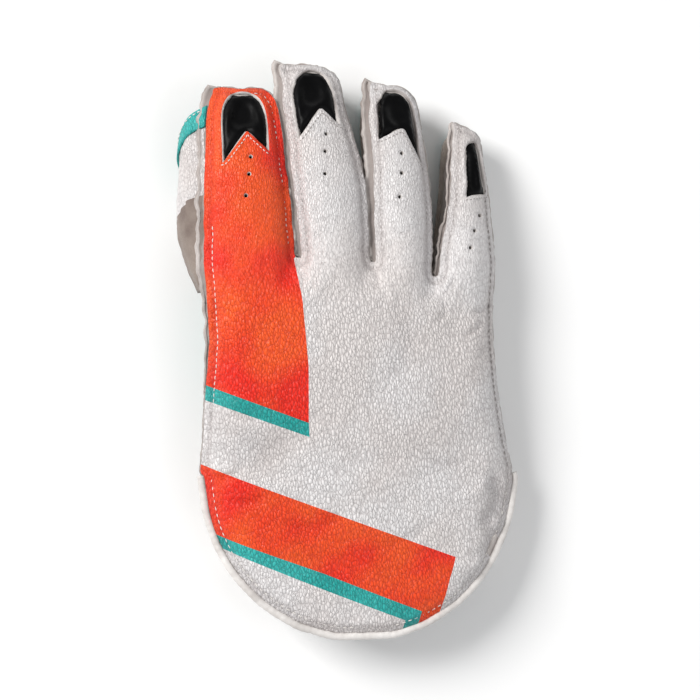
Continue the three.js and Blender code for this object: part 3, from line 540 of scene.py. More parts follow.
def plan_mesh(loops, spacing, lines=()):
    """Triangles over the plan inside the first loop and outside the others, with lines kept as edges."""
    outline = loops[0]
    points, edges = [], []
    for line, closed in [(loop, True) for loop in loops] + [(line, False) for line in lines]:
        start = len(points)
        points += [tuple(p) for p in line]
        count = len(line)
        edges += [(start + k, start + (k + 1) % count) for k in range(count if closed else count - 1)]
    tree = tree_of(points)
    low, high = outline.min(0), outline.max(0)
    grid = staggered(low, high, spacing)
    grid = grid[inside(grid, outline)]
    grid = [p for p in grid if tree.find((p[0], p[1], 0))[2] > LINE_SHARE * spacing]
    points = [Vector(p) for p in points] + [Vector(p) for p in grid]
    made, _, faces, *_ = delaunay_2d_cdt(points, edges, [], 0, 1e-4)
    made = np.array([(v[0], v[1]) for v in made])
    faces = np.array([f[:3] for f in faces])
    middles = made[faces].mean(1)
    kept = inside(middles, outline)
    for loop in loops[1:]:
        kept &= ~inside(middles, loop)
    faces = faces[kept]
    used = np.unique(faces)
    place = np.full(len(made), -1)
    place[used] = np.arange(len(used))
    made, faces = made[used], place[faces]
    a, b, c = (made[faces[:, k]] for k in range(3))
    area = (b - a)[:, 0] * (c - a)[:, 1] - (b - a)[:, 1] * (c - a)[:, 0]
    faces[area < 0] = faces[area < 0][:, ::-1]
    return made, faces


def boundary(faces):
    """The edges that one face uses, in its own direction."""
    directed = np.vstack([faces[:, [0, 1]], faces[:, [1, 2]], faces[:, [2, 0]]])
    known = {tuple(e) for e in directed.tolist()}
    return [e for e in directed.tolist() if (e[1], e[0]) not in known]


def vertex_normals(points, faces):
    a, b, c = (points[faces[:, k]] for k in range(3))
    face = np.cross(b - a, c - a)
    total = np.zeros_like(points)
    for k in range(3):
        np.add.at(total, faces[:, k], face)
    return unit(total)


def closed_sheet(shown, hidden, faces):
    """Two sides over the same triangles, with a rim between them. Returns points, faces and their sides: 0
    for shown, 1 for hidden and 2 for the rim."""
    count = len(shown)
    rims = [(a, a + count, b + count, b) for a, b in boundary(faces)]
    all_faces = faces.tolist() + (faces[:, ::-1] + count).tolist() + rims
    sides = np.repeat([0, 1, 2], [len(faces), len(faces), len(rims)])
    return np.vstack([shown, hidden]), all_faces, sides


def sheet_mesh(plan, faces, height, thickness, bevel=0.0):
    """A thick sheet over the plan. height gives its shown side, and the other side lies under that. bevel
    moves the other side's points in plan, so that a cut edge shows."""
    shown = np.column_stack([plan, height(plan)])
    normals = vertex_normals(shown, faces)
    normals[:, 2] = np.maximum(normals[:, 2], LEAST_UP)
    hidden = shown - normals * thickness
    hidden[:, :2] += bevel
    return closed_sheet(shown, hidden, faces)


def flat_sheet(plan, faces, height, thickness):
    """A thick sheet whose shown side looks down, with the other side straight above."""
    shown = np.column_stack([plan, height(plan)])
    return closed_sheet(shown, shown + [0, 0, thickness], faces[:, ::-1])


def circle_of(count):
    """The corners of a regular polygon of radius 1."""
    turns = np.arange(count) * 2 * math.pi / count
    return np.column_stack([np.cos(turns), np.sin(turns)])


STITCH_RINGS = [(-0.62, 0.78), (0.0, 1.0), (0.62, 0.78)]  # place along half the length, and radius
STITCH_TEMPLATE = [(-1, 0, 0), (1, 0, 0)]
for at, size in STITCH_RINGS:
    STITCH_TEMPLATE += [(at, size * y, size * z) for y, z in circle_of(6)]
STITCH_TEMPLATE = np.array(STITCH_TEMPLATE)
STITCH_FACES = []
for k in range(6):
    n = (k + 1) % 6
    STITCH_FACES.append((0, 2 + n, 2 + k))
    STITCH_FACES.append((1, 14 + k, 14 + n))
    for ring in (2, 8):
        STITCH_FACES.append((ring + k, ring + n, ring + 6 + n, ring + 6 + k))


STITCH_TURN = 0.22  # how unevenly the stitches lie, and how unevenly long they are
STITCH_STRETCH = 0.12
STITCH_FLATNESS = 0.8
WINDOW_CLEARANCE = 0.8  # stitches keep this far off the windows


class Stitches:
    """Rows of short stitches, gathered in one piece."""

    def __init__(self):
        self.points = []
        self.faces = []
        self.in_painted_shade = []

    def row(self, line, pitch, length, radius, seed=0.0, in_painted_shade=False):
        """line is a line of points, already on the leather. The last argument gives the stitches a grey
        thread, whose colour is painted shade.
        """
        line = resampled(line, pitch, closed=False)
        middles = (line[1:] + line[:-1]) / 2
        along = line[1:] - line[:-1]
        clear = np.ones(len(middles), bool)
        for edge in window_edges:
            clear &= edge.depth(middles) < -WINDOW_CLEARANCE
        middles, along = middles[clear], along[clear]
        wobble = rough(middles, 2.0, seed + 3.1)
        for middle, way, turn in zip(middles, along, wobble):
            way = unit(way)
            side = unit(np.cross([0, 0, 1.0], way))
            way = way + side * turn * STITCH_TURN
            normal = np.cross(way, side)
            start = len(self.points) * len(STITCH_TEMPLATE)
            size = np.array([length / 2 * (1 + STITCH_STRETCH * turn), radius, radius * STITCH_FLATNESS])
            self.points.append(middle + STITCH_TEMPLATE * size @ np.stack([way, side, normal]))
            self.faces += [tuple(start + i for i in f) for f in STITCH_FACES]
            self.in_painted_shade += [int(in_painted_shade)] * len(STITCH_FACES)

    def add(self, name):
        add_object(name, np.vstack(self.points), self.faces, [THREAD, PAINTED_SHADE_THREAD], ids=self.in_painted_shade)


def tube(path, radius, sides, flat):
    """A tube round a path in space, upright, with a radius at each point. Returns points and faces."""
    tangent = unit(np.gradient(path, axis=0))
    side = unit(np.cross(tangent, (0, 0, 1.0)))
    up = np.cross(side, tangent)
    circle = circle_of(sides)
    ring = side[:, None] * circle[:, :1] + up[:, None] * circle[:, 1:] * flat
    points = path[:, None] + ring * radius[:, :, None]
    last = (len(path) - 1) * sides
    faces = []
    for k in range(0, last, sides):
        for s in range(sides):
            n = (s + 1) % sides
            faces.append((k + s, k + sides + s, k + sides + n, k + n))
    faces.append(tuple(range(sides)))
    faces.append(tuple(reversed(range(last, last + sides))))
    return points.reshape(-1, 3), faces


def lofted(rows, closed=False):
    """Quads between rows of points. Returns points and faces."""
    count, width = rows.shape[:2]
    faces = []
    for r in range(count if closed else count - 1):
        row, following = r * width, (r + 1) % count * width
        faces += [(row + c, row + c + 1, following + c + 1, following + c) for c in range(width - 1)]
    return rows.reshape(-1, 3), faces


# The back of the glove

back_heights = HeightField(["back_panel"], True)
palm_heights = HeightField(["palm_panel"], False)

back_loops = face_loops("back_panel", True)
WINDOW_LOOPS = back_loops[1:5]
VENT_LOOPS = back_loops[5:]

# Where the raw edge stands out in a corner beside a fingertip, in the photo's pixels, and how far from
# there it is drawn out
EARS = [
    ((368, 71), 5.0),
    ((395, 73), 6.0),
    ((420, 71), 5.0),
    ((433, 45), 5.5),
    ((526, 60), 5.0),
    ((617, 97), 4.0),
]
CUFF_CORNER = -62.0  # y where the piping starts
PIPING_SETBACK = 1.7  # how far the back's edge stands inside the middle of the piping
FIN_SETBACK = 2.1  # how far the back's edge stands inside the strip's on the left of each finger
LEAST_GAP = 0.9  # between two runs of the outline that face each other
RUN_APART = 12  # along the outline, from where on two places are on different runs
EAR_SHARE = 0.85  # how much of the way to its place an ear is drawn


def left_sides(normals, path):
    """1 where an outline runs up the left of a finger, 0 elsewhere and down at the wrist."""
    return smoothstep((normals[:, 0] - 0.35) / 0.4) * smoothstep((path[:, 1] + 30) / 40)


def ragged(loop, step, amount):
    """An outline with the ears of the fingertips and an uneven cut, and with no two edges touching."""
    path = resampled(loop, step)
    for target, width in EARS:
        x, y = from_photo([target])[0]
        nearest = np.argmin(np.hypot(path[:, 0] - x, path[:, 1] - y))
        gap = np.array([x, y]) - path[nearest]
        steps = np.abs(np.arange(len(path)) - nearest)
        away = np.minimum(steps, len(path) - steps) * step
        path = path + np.exp(-((away / width) ** 1.5))[:, None] * gap * EAR_SHARE
    arc = np.arange(len(path)) * step
    fingers = smoothstep((path[:, 1] - 30) / 30)[:, None]
    cut = rough(arc, 3.1, 7.7) * 0.6 + rough(arc, 9.0, 1.2)
    normals = inward(path, window=14)
    left = left_sides(normals, path)
    inner = smoothstep((path[:, 0] + 60) / 10)
    left = left * (1 - 0.6 * inner * (1 - smoothstep((path[:, 1] - 50) / 40)))
    path = path + normals * (left * (FIN_SETBACK + 0.5 * rough(arc, 11.0, 4.1)))[:, None]
    cuff = smoothstep((CUFF_CORNER - path[:, 1]) / 3)
    path = path + normals * (cuff * PIPING_SETBACK)[:, None]
    path = path + inward(path, window=4) * (cut * amount)[:, None] * (0.25 + 0.75 * fingers)
    for _ in range(3):
        tree = tree_of(path)
        for k, p in enumerate(path):
            for _, other, reach in tree.find_range((p[0], p[1], 0), LEAST_GAP):
                apart = min(abs(other - k), len(path) - abs(other - k)) * step
                if apart > RUN_APART:
                    gap = p - path[other]
                    path[k] = path[k] + gap / max(reach, 1e-3) * (LEAST_GAP - reach) * 0.5
    return path


outline = ragged(back_loops[0], 1.4 * COARSE, 0.45)
outline_edge = Edge(outline)

crotch_points = [int(np.argmin(np.hypot(*(outline_edge.path - c).T))) for c in CROTCHES]
cuff_point = int(np.argmin(outline_edge.path[:, 1]))


def finger_of(ids):
    """Which finger each place along the outline belongs to. The little finger comes first on the way."""
    count = len(outline_edge.path)
    turned = (np.asarray(ids) - cuff_point) % count
    marks = sorted((end - cuff_point) % count for end in crotch_points)
    return 3 - np.searchsorted(marks, turned)


HAND_ORANGE = from_photo([
    (326, 233), (446, 235), (454, 284), (460, 346), (461, 402), (358, 364), (326, 352),
])
HAND_TEAL = from_photo([(326, 352), (358, 364), (461, 402), (462, 416), (358, 379), (326, 367)])
CUFF_ORANGE = from_photo([
    (335, 435.5), (612, 538.5), (602, 577), (596, 600), (590, 635), (569, 635), (574, 610), (578, 592.5),
    (478, 552), (381, 516.5), (335, 500),
])
CUFF_TEAL = from_photo([
    (335, 500), (381, 516.5), (478, 552), (578, 592.5), (574, 610), (569, 635), (555, 635), (558, 615),
    (561, 601), (478, 568), (382, 528.5), (335, 510),
])


def subdivided(polygon, step):
    """A polygon's closed line with straight sides cut into short ones."""
    points = []
    for (x, y), (u, v) in zip(polygon, polygon[1:] + polygon[:1]):
        parts = max(int(math.dist((x, y), (u, v)) / step), 1)
        points += [(x + (u - x) * k / parts, y + (v - y) * k / parts) for k in range(parts)]
    return points + points[:1]


def print_colour(middles):
    """0 for white, 1 for orange, 2 for teal, at places on the back."""
    colour = np.zeros(len(middles), int)
    _, ids = outline_edge.near(middles)
    colour[(finger_of(ids) == 0) & (middles[:, 1] > CROTCHES[0][1])] = 1
    colour[inside(middles, np.array(HAND_ORANGE)) & (middles[:, 1] <= CROTCHES[0][1])] = 1
    colour[inside(middles, np.array(CUFF_ORANGE))] = 1
    colour[inside(middles, np.array(HAND_TEAL))] = 2
    colour[inside(middles, np.array(CUFF_TEAL))] = 2
    return colour


CREASE_DEPTH = 1.35  # every crease's depth is multiplied by this
# Creases of the back: middle in the photo's pixels, turn in degrees from straight across, then length,
# width and depth in millimetres. A negative depth is a ridge.
CREASES = [
    ((520, 455), -3, 70, 13.0, -0.9),
    ((400, 430), -20, 44, 22.0, 1.6),
    ((658, 484), 84, 28, 11.0, 2.6),
    ((643, 466), 60, 22, 9.0, -1.2),
    ((650, 528), 66, 22, 10.0, 1.8),
    ((634, 545), 40, 24, 10.0, -1.1),
    ((642, 290), 28, 15, 3.0, 0.9),
    ((630, 312), 34, 16, 3.0, 0.8),
    ((640, 335), 38, 13, 3.0, 0.6),
    ((606, 268), 60, 12, 3.0, 0.9),
    ((598, 292), 72, 14, 4.0, 0.7),
    ((530, 262), 84, 12, 3.6, 0.9),
    ((543, 275), 100, 16, 4.0, -0.5),
    ((455, 262), 80, 13, 3.4, 0.9),
    ((470, 270), 65, 16, 4.0, -0.5),
    ((372, 300), 84, 24, 3.4, 0.7),
    ((384, 455), 20, 16, 4.5, 1.1),
    ((404, 480), 10, 22, 5.0, 0.8),
    ((472, 505), 14, 30, 7.0, 0.7),
    ((560, 520), 22, 34, 6.0, 0.6),
    ((600, 445), -14, 22, 5.0, 0.8),
    ((415, 200), 8, 10, 3.0, 0.35),
    ((482, 205), -6, 12, 3.0, 0.4),
    ((556, 215), 5, 10, 3.0, 0.4),
    ((618, 246), -10, 9, 2.6, 0.4),
    ((410, 395), 12, 30, 6.0, 0.5),
    ((560, 330), 78, 40, 12.0, 0.6),
]


def crease_depth(points):
    total = np.zeros(len(points))
    for middle, turn, length, width, depth in CREASES:
        x, y = from_photo([middle])[0]
        dx, dy = points[:, 0] - x, points[:, 1] - y
        angle = math.radians(turn)
        lengthwise = (dx * math.cos(angle) + dy * math.sin(angle)) / (length / 2)
        bow = 0.6 * width * lengthwise**2
        across = (dy * math.cos(angle) - dx * math.sin(angle) - bow) / (width / 2)
        total += CREASE_DEPTH * depth * np.exp(-(across**2) - lengthwise**4)
    return total


def back_surface(points):
    """The height of the back's shown side, with its seams and folds."""
    near, ids = outline_edge.near(points)
    arc = ids * outline_edge.step
    x, y = points[:, 0], points[:, 1]
    height = back_heights(x, y)
    cuff = smoothstep((WRIST - y) / 12)
    finger = smoothstep((y - 35) / 15)
    along = np.column_stack([arc, near])
    height = height - crease_depth(points)
    height += 0.7 * rough(points, 30, 4.2) * smoothstep(near / 8) + 0.07 * rough(points, 9, 2.2)
    # The seam's groove, with the panel standing up a little beside it
    seam = np.where(cuff > 0.5, CUFF_SEAM, SEAM)
    groove = np.exp(-(((near - seam) / 0.8) ** 2))
    height -= (0.75 - 0.25 * cuff) * groove
    height += 0.5 * np.exp(-(((near - seam - 2.2) / 1.5) ** 2)) * (1 - 0.4 * cuff)
    height -= 0.9 * cuff * (1 - smoothstep(near / 2.6))
    # Puckers that the stitches pull into the leather
    pull = np.exp(-np.abs(near - seam) / 2.6)
    height += 0.16 * np.cos(2 * math.pi * arc / PUCKER) * pull
    waves = rough(along * (1, 0.35), 4.6, 8.8) * np.exp(-np.abs(near - seam - 2) / 5.5)
    height += (0.45 + 0.35 * cuff) * waves
    # The raw flange outside the seam wavers up and down
    flange = 1 - smoothstep(near / seam)
    height += flange * (1 - cuff) * (0.5 + 0.9 * rough(arc, 8.5, 5.5) * (0.4 + finger))
    # The edges of the windows lift a little off their caps
    for edge in window_edges:
        away, where = edge.near(points)
        height += 0.35 * np.exp(-((away / 2.2) ** 2)) * (1 + rough(where * edge.step, 5.0, 3.3))
    return height


def leather_shade_and_edge_darkening(points):
    """How much the leather is darkened: painted shade in the seams' grooves and in the creases, and a
    random darkening near the edge, also between the fingers.
    """
    near, ids = outline_edge.near(points)
    arc = ids * outline_edge.step
    patchy = 0.5 + 0.5 * rough(arc, 14, 9.1)
    grime_and_shade = 0.55 * np.exp(-(((near - SEAM) / 1.1) ** 2)) + 0.5 * patchy * np.exp(-near / 3.0)
    return np.clip(grime_and_shade + 0.22 * np.clip(crease_depth(points), 0, 1.5), 0, 1)


FINE_STEP = 0.4  # of a cut while it is smoothed
CUT_PASSES = 60  # of smoothing along a cut
CORNER_SPAN = 3.0
SHARPEST_CURVE = 50  # in degrees over that span, past which it is a corner
# How far each window's worn edge has pulled off its cut, in millimetres: left, right, foot and top
WINDOW_PULL = {
    "index": (-0.3, 0.3, -0.5, 2.0),
    "middle": (-0.6, 0.6, -1.8, 2.6),
    "ring": (-1.1, 0.8, -0.9, 4.4),
    "little": (0.0, 5.2, 0.0, 4.6),
}
VENT_RADIUS = 1.1
VENT_SIDES = 14
# How far the hidden side of a cut stands into its hole
OUTLINE_BEVEL = -0.55
WINDOW_BEVEL = 0.7
VENT_BEVEL = 0.35
WINDOW_MARGIN = 1.3  # least leather left between a window and the outline
MARGIN_PASSES = 4
ROUNDING_PASSES = 11  # of a window's upper part after each of those
ON_CUT = 0.15  # points so near a cut lie on it


def hole_bevel(plan, loops, reaches):
    """How far the hidden side of each cut edge stands into its hole."""
    moved = np.zeros_like(plan)
    for loop, reach in zip(loops, reaches):
        edge = Edge(loop, 0.25)
        near, ids = edge.near(plan)
        rim = near < ON_CUT
        moved[rim] = inward(edge.path, window=2)[ids[rim]] * reach
    return moved


def cut_smoothly(loop, step):
    """A closed cut without the small corners of its outline. Its real corners stay."""
    path = resampled(np.array(subdivided([tuple(p) for p in loop], FINE_STEP)[:-1]), FINE_STEP)
    reach = int(CORNER_SPAN / FINE_STEP)
    for _ in range(CUT_PASSES):
        before = path - np.roll(path, reach, 0)
        after = np.roll(path, -reach, 0) - path
        cross = before[:, 0] * after[:, 1] - before[:, 1] * after[:, 0]
        turn = np.degrees(np.abs(np.arctan2(cross, (before * after).sum(1))))
        corner = np.max([np.roll(turn, k) for k in range(-2, 3)], axis=0) > SHARPEST_CURVE
        middle = (np.roll(path, 1, 0) + np.roll(path, -1, 0)) / 2
        path = np.where(corner[:, None], path, middle)
    parts = max(int(round(len(path) * FINE_STEP / step)), 8)
    return path[np.linspace(0, len(path), parts, endpoint=False).astype(int)]


def finger_at(x):
    """The finger whose window is nearest."""
    return FINGERS[int(np.argmin([abs(x - middle) for middle in FINGER_MIDDLES]))]


def pulled(loop):
    """A window's edge, as it has pulled open over its cap."""
    ring = counterclockwise(cut_smoothly(loop, 1.1 * COARSE))
    left, right, foot, top = WINDOW_PULL[finger_at(ring.mean(0)[0])]
    share = (ring - ring.min(0)) / (ring.max(0) - ring.min(0))
    ring = ring + np.array([left, foot]) * (1 - share) + np.array([right, top]) * share
    upper = 0.5 * smoothstep((share[:, 1:] - 0.4) / 0.2)
    for _ in range(MARGIN_PASSES):
        short = np.maximum(WINDOW_MARGIN - outline_edge.depth(ring), 0)
        ring = ring + inward(ring, window=9) * short[:, None]
        for _ in range(ROUNDING_PASSES):
            middle = (np.roll(ring, 1, 0) + np.roll(ring, -1, 0)) / 2
            ring = ring + (middle - ring) * upper
    return ring


window_loops = [pulled(loop) for loop in WINDOW_LOOPS]
window_edges = [Edge(loop) for loop in window_loops]
vent_loops = [loop.mean(0) + VENT_RADIUS * circle_of(VENT_SIDES) for loop in VENT_LOOPS]

print_lines = [subdivided(p, 1.6) for p in (HAND_ORANGE, HAND_TEAL, CUFF_ORANGE, CUFF_TEAL)]
holes = window_loops + vent_loops
plan, faces = plan_mesh([outline] + holes, 1.55 * COARSE, print_lines)
reaches = [OUTLINE_BEVEL] + [WINDOW_BEVEL] * len(window_loops) + [VENT_BEVEL] * len(vent_loops)
bevel = hole_bevel(plan, [outline] + holes, reaches)
points, all_faces, sides = sheet_mesh(plan, faces, back_surface, LEATHER, bevel)
ids = np.where(sides == 1, 4, 3)
ids[: len(faces)] = print_colour(plan[faces].mean(1))
# Painted shade in the seams' grooves and the creases, and a random darkening near the edge
grime_and_shade = np.tile(leather_shade_and_edge_darkening(plan), 2)
materials = [WHITE, ORANGE, TEAL, RAW, LINING]
add_object("back_of_hand", points, all_faces, materials, "back_panel", ids, grime_and_shade)

# The moulded caps

CAP_WALL = 1.5
CAP_REACH = 3.4  # how far a cap goes on under the leather
CAP_RISE = 1.5
CAP_MARGIN = 5.2  # from the outline
CAP_GAP = 0.5  # under the leather
CAP_CROWN = 0.5


def cap_surface(edge):
    """A cap's height over the plan: flat under the leather, domed in its window."""

    def height(points):
        depth = edge.depth(points)
        under = back_heights(points[:, 0], points[:, 1]) - LEATHER - CAP_GAP
        rise = smoothstep((depth + 0.6) / 4.5)
        crown = CAP_CROWN * smoothstep((depth - 2) / 8)
        return under + rise * (CAP_RISE + LEATHER) + crown

    return height


for ring, edge in zip(window_loops, window_edges):
    grown = ring - inward(ring, window=3) * CAP_REACH
    short = np.clip(CAP_MARGIN - outline_edge.depth(grown), 0, 6)
    grown = grown + inward(grown, window=5) * short[:, None]
    name = finger_at(ring.mean(0)[0])
    plan, faces = plan_mesh([grown], 1.6 * COARSE)
    points, all_faces, _ = sheet_mesh(plan, faces, cap_surface(edge), CAP_WALL)
    add_object("fingertip_cap_" + name, points, all_faces, [CAP], "finger_cap_" + name)

# The side walls

path = outline_edge.path
count = len(path)
labels = finger_of(np.arange(count))
WALL_DEPTH = 4.0  # from the back's edge in to where a wall stands
WALL_ROWS = 7
STRIP_OVERLAP = 0.8
CUFF_START = -70  # y below which the strips' fins end
LITTLE_FIN_X = 44  # x from which on a fin is the little finger's
LITTLE_FIN_LOSS = 2.6  # how much narrower
FIN_FOLD_SHADE = [0.0, 0.75, 0.95, 0.3]  # painted shade in a strip's fold, from its raw edge inwards, row by row


def wall_rows(ids):
    """The profile of a side wall at each place along the outline: flange, wall, flange."""
    edge = path[ids]
    normals = inward(path, window=8)[ids]
    arc = ids * outline_edge.step
    rag = 0.5 + 0.5 * rough(arc, 2.6, 3.4)
    wave = rough(arc, 8.5, 5.5)
    cuff = smoothstep((CUFF_START - edge[:, 1]) / 20)
    left = left_sides(normals, edge)
    reach = (0.3 + (0.7 * rag + 2.2 * left) * smoothstep((edge[:, 1] - 20) / 30)) * (1 - cuff) - 1.2 * cuff
    reach += left * (0.6 * rag + 0.8 + 1.5 * rough(arc, 5.4, 12.4))
    reach -= LITTLE_FIN_LOSS * left * smoothstep((edge[:, 0] - LITTLE_FIN_X) / 4)

    def spot(depth):
        return edge + normals * np.asarray(depth).reshape(-1, 1)

    def at(depth, height):
        return np.column_stack([spot(depth), np.broadcast_to(height, len(edge))])

    def top(depth):
        return back_heights(*spot(depth).T) - LEATHER - SEWN_GAP

    def bottom(depth):
        return palm_heights(*spot(depth).T) + LEATHER + SEWN_GAP

    rows = [
        at(-reach, top(0) + wave + 0.6 * rough(arc, 3.3, 6.1) + 0.5 * left),
        at(-0.5 * reach, top(0) + 0.3 * wave - left),
        at(0.9, top(0.9) + 0.35 * wave),
        at(2.4, top(2.4)),
    ]
    high, low = top(WALL_DEPTH) - 0.6, bottom(WALL_DEPTH) + 0.6
    for share in np.linspace(0, 1, WALL_ROWS):
        fold = 0.9 * rough(np.column_stack([arc, share * 9 + 0 * arc]), 5.0, 2.7)
        fold = fold + 0.6 * rough(np.column_stack([arc, share * 30 + 0 * arc]), 13.0, 6.2)
        depth = WALL_DEPTH - (1.3 + fold) * math.sin(math.pi * share)
        rows.append(at(depth, high + (low - high) * share))
    rows.append(at(2.8, bottom(2.8)))
    rows.append(at(1.4 + 0.8 * rag, bottom(1.6)))
    return np.stack(rows, 1)


# Each strip: name, finger, and the y where it starts and ends
STRIPS = [
    ("index", 0, SIDE_SPLIT, math.inf),
    ("middle", 1, 0, math.inf),
    ("ring", 2, 0, math.inf),
    ("little", 3, SIDE_SPLIT, math.inf),
    ("hand_inner", 0, CUFF_SIDE_END, SIDE_SPLIT),
    ("hand_outer", 3, CUFF_SIDE_END, SIDE_SPLIT),
]
for name, finger, foot, head in STRIPS:
    ids = np.where((labels == finger) & (path[:, 1] > foot) & (path[:, 1] < head + STRIP_OVERLAP))[0]
    order = np.argsort((ids - cuff_point) % count)
    ids = ids[order][:: round(2 * COARSE)]
    rows = wall_rows(ids)
    points, faces = lofted(rows)
    # Painted shade along the fold of each fin
    grime_and_shade = np.tile(FIN_FOLD_SHADE + [0.0] * (rows.shape[1] - len(FIN_FOLD_SHADE)), len(rows))
    materials = [STRIP, CUT_EDGE]
    strip = add_object(
        "side_strip_" + name, points, faces, materials, "sidewall_" + name, grime_and_shade=grime_and_shade,
    )
    thicken(strip, SIDE_LEATHER, rim=1)

# The palm, its facing and the thumb

palm_loops = face_loops("palm_panel", False)
palm_outline = resampled(palm_loops[0], 1.8 * COARSE)
palm_edge = Edge(palm_outline)
LEAST_Z = 0.15  # over the floor


def palm_surface(points):
    near, ids = palm_edge.near(points)
    arc = ids * palm_edge.step
    height = palm_heights(points[:, 0], points[:, 1])
    height += 0.35 * np.exp(-(((near - 2.0) / 0.8) ** 2))
    height += 0.12 * np.cos(2 * math.pi * arc / 3.4) * np.exp(-near / 2.5)
    lift = 0.3 * (1 + rough(points, 12, 6.6))
    return np.maximum(height + lift, LEAST_Z)


palm_holes = [resampled(loop, 1.6 * COARSE) for loop in palm_loops[1:2]]
plan, faces = plan_mesh([palm_outline] + palm_holes, 2.2 * COARSE)
points, all_faces, sides = flat_sheet(plan, faces, palm_surface, LEATHER)
grime_and_shade = np.tile(0.2 + 0.2 * rough(plan, 20, 1.0), 2)
add_object("palm", points, all_faces, [WHITE, LINING, RAW], "palm_panel", sides, grime_and_shade)

facing_heights = HeightField(["palm_facing"], False)
facing_loops = face_loops("palm_facing", False)
facing_outline = resampled(facing_loops[0], 1.8 * COARSE)
facing_outline = facing_outline + inward(facing_outline, window=3) * 0.5
facing_edge = Edge(facing_outline)
facing_holes = [resampled(loop, 1.6 * COARSE) for loop in facing_loops[1:2]]
PIMPLE = 0.75
PIMPLE_PITCH = 4.2
PIMPLE_SIDES = 8
PIMPLE_BORDER = 4.2  # bare rubber inside the edge
PIMPLE_HOLE_BORDER = 2.5
PIMPLE_RINGS = [(1.15, -0.2), (0.85, 0.55 * PIMPLE), (0.5, 0.98 * PIMPLE)]  # radius and drop


def facing_surface(points):
    near, _ = facing_edge.near(points)
    border = 0.35 * np.exp(-(((near - 2.4) / 0.6) ** 2))
    return facing_heights(points[:, 0], points[:, 1]) + PIMPLE + border


def add_rubber(name, stands_for, edge, holes, spacing, surface, thickness):
    """A rubber sheet, with small blunt cones that stand down from it in staggered rows."""
    plan, faces = plan_mesh([edge.loop] + holes, spacing)
    points, all_faces, _ = flat_sheet(plan, faces, surface, thickness)
    spots = staggered(edge.loop.min(0), edge.loop.max(0), PIMPLE_PITCH)
    kept = edge.depth(spots) > PIMPLE_BORDER
    for hole in holes:
        kept &= Edge(hole).depth(spots) < -PIMPLE_HOLE_BORDER
    spots = spots[kept]
    circle = circle_of(PIMPLE_SIDES)
    points = [points]
    start = len(points[0])
    for spot, z in zip(spots, surface(spots)):
        for radius, drop in PIMPLE_RINGS:
            ring = spot + radius * circle
            points.append(np.column_stack([ring, np.full(PIMPLE_SIDES, z - drop)]))
        root, waist, tip = (start + n * PIMPLE_SIDES for n in range(3))
        for k in range(PIMPLE_SIDES):
            n = (k + 1) % PIMPLE_SIDES
            all_faces.append((root + k, waist + k, waist + n, root + n))
            all_faces.append((waist + k, tip + k, tip + n, waist + n))
        all_faces.append(tuple(range(tip, tip + PIMPLE_SIDES))[::-1])
        all_faces.append(tuple(range(root, waist)))
        start += 3 * PIMPLE_SIDES
    add_object(name, np.vstack(points), all_faces, [RUBBER], stands_for)


add_rubber(
    "palm_rubber", "palm_facing", facing_edge, facing_holes, 2.4 * COARSE, facing_surface, RUBBER_SHEET,
)

thumb_loops = face_loops("thumb_palm", False)
thumb_outline = resampled(thumb_loops[0], 1.4 * COARSE)
thumb_edge = Edge(thumb_outline)
mouth = palm_holes[0].mean(0)
MOUTH_OUTSIDE = 12.9
MOUTH_INSIDE = 11.6
MOUTH_SIDES = 36
MOUTH_RINGS = 6
MOUTH_BULGE = 0.5
NECK_OVERLAP = 0.8  # how far the neck's foot reaches into the thumb's upper sheet
NECK_GAP = 0.1  # between the neck's top and the palm
NECK_REACH = 15.5  # how far from the mouth's middle the CAD node's neck reaches


def in_neck(x, y):
    return math.dist((x, y), mouth) < NECK_REACH


thumb_low = HeightField(["thumb_palm"], False)
thumb_high = HeightField(["thumb_back"], True, in_neck)


def thumb_skin(heights, sign):
    """The height of one half of the thumb, up for 1 or down for -1, with its seam."""

    def height(points):
        near, ids = thumb_edge.near(points)
        arc = ids * thumb_edge.step
        base = heights(points[:, 0], points[:, 1])
        base += sign * 0.25 * rough(points, 9, 3.9)
        base += sign * 0.12 * np.cos(2 * math.pi * arc / PUCKER) * np.exp(-np.abs(near - 2) / 2)
        groove = np.exp(-(((near - 2.2) / 0.7) ** 2))
        return base - sign * 0.45 * groove

    return height


mouth_circle = circle_of(MOUTH_SIDES)
mouth_ring = mouth + MOUTH_OUTSIDE * mouth_circle
plan, faces = plan_mesh([thumb_outline, mouth_ring], 1.8 * COARSE)
points, all_faces, sides = sheet_mesh(plan, faces, thumb_skin(thumb_high, 1), LEATHER)
ring_height = thumb_high(*mouth_ring.T) - NECK_OVERLAP
neck_top = palm_heights(*mouth_ring.T) - NECK_GAP
rows = []
for share in np.linspace(0, 1, MOUTH_RINGS):
    ring = mouth + (MOUTH_OUTSIDE + MOUTH_BULGE * math.sin(math.pi * share)) * mouth_circle
    rows.append(np.column_stack([ring, ring_height + (neck_top - ring_height) * share]))
outer, neck_faces = lofted(np.stack(rows, 1), closed=True)
start = len(points)
inner = outer.copy()
inner[:, :2] = mouth + (inner[:, :2] - mouth) * (MOUTH_INSIDE / MOUTH_OUTSIDE)
points = np.vstack([points, outer, inner])
wide = len(outer)
all_faces += [tuple(start + i for i in f) for f in neck_faces]
all_faces += [tuple(start + wide + i for i in f[::-1]) for f in neck_faces]
for k in range(MOUTH_SIDES):
    a, b = (start + n % MOUTH_SIDES * MOUTH_RINGS for n in (k, k + 1))
    all_faces.append((b, b + wide, a + wide, a))
    a, b = a + MOUTH_RINGS - 1, b + MOUTH_RINGS - 1
    all_faces.append((a, a + wide, b + wide, b))
ids = np.pad(sides, (0, len(all_faces) - len(sides)))
add_object("thumb_upper", points, all_faces, [WHITE, LINING, RAW], "thumb_back", ids, 0.25)

thumb_low_skin = thumb_skin(thumb_low, -1)


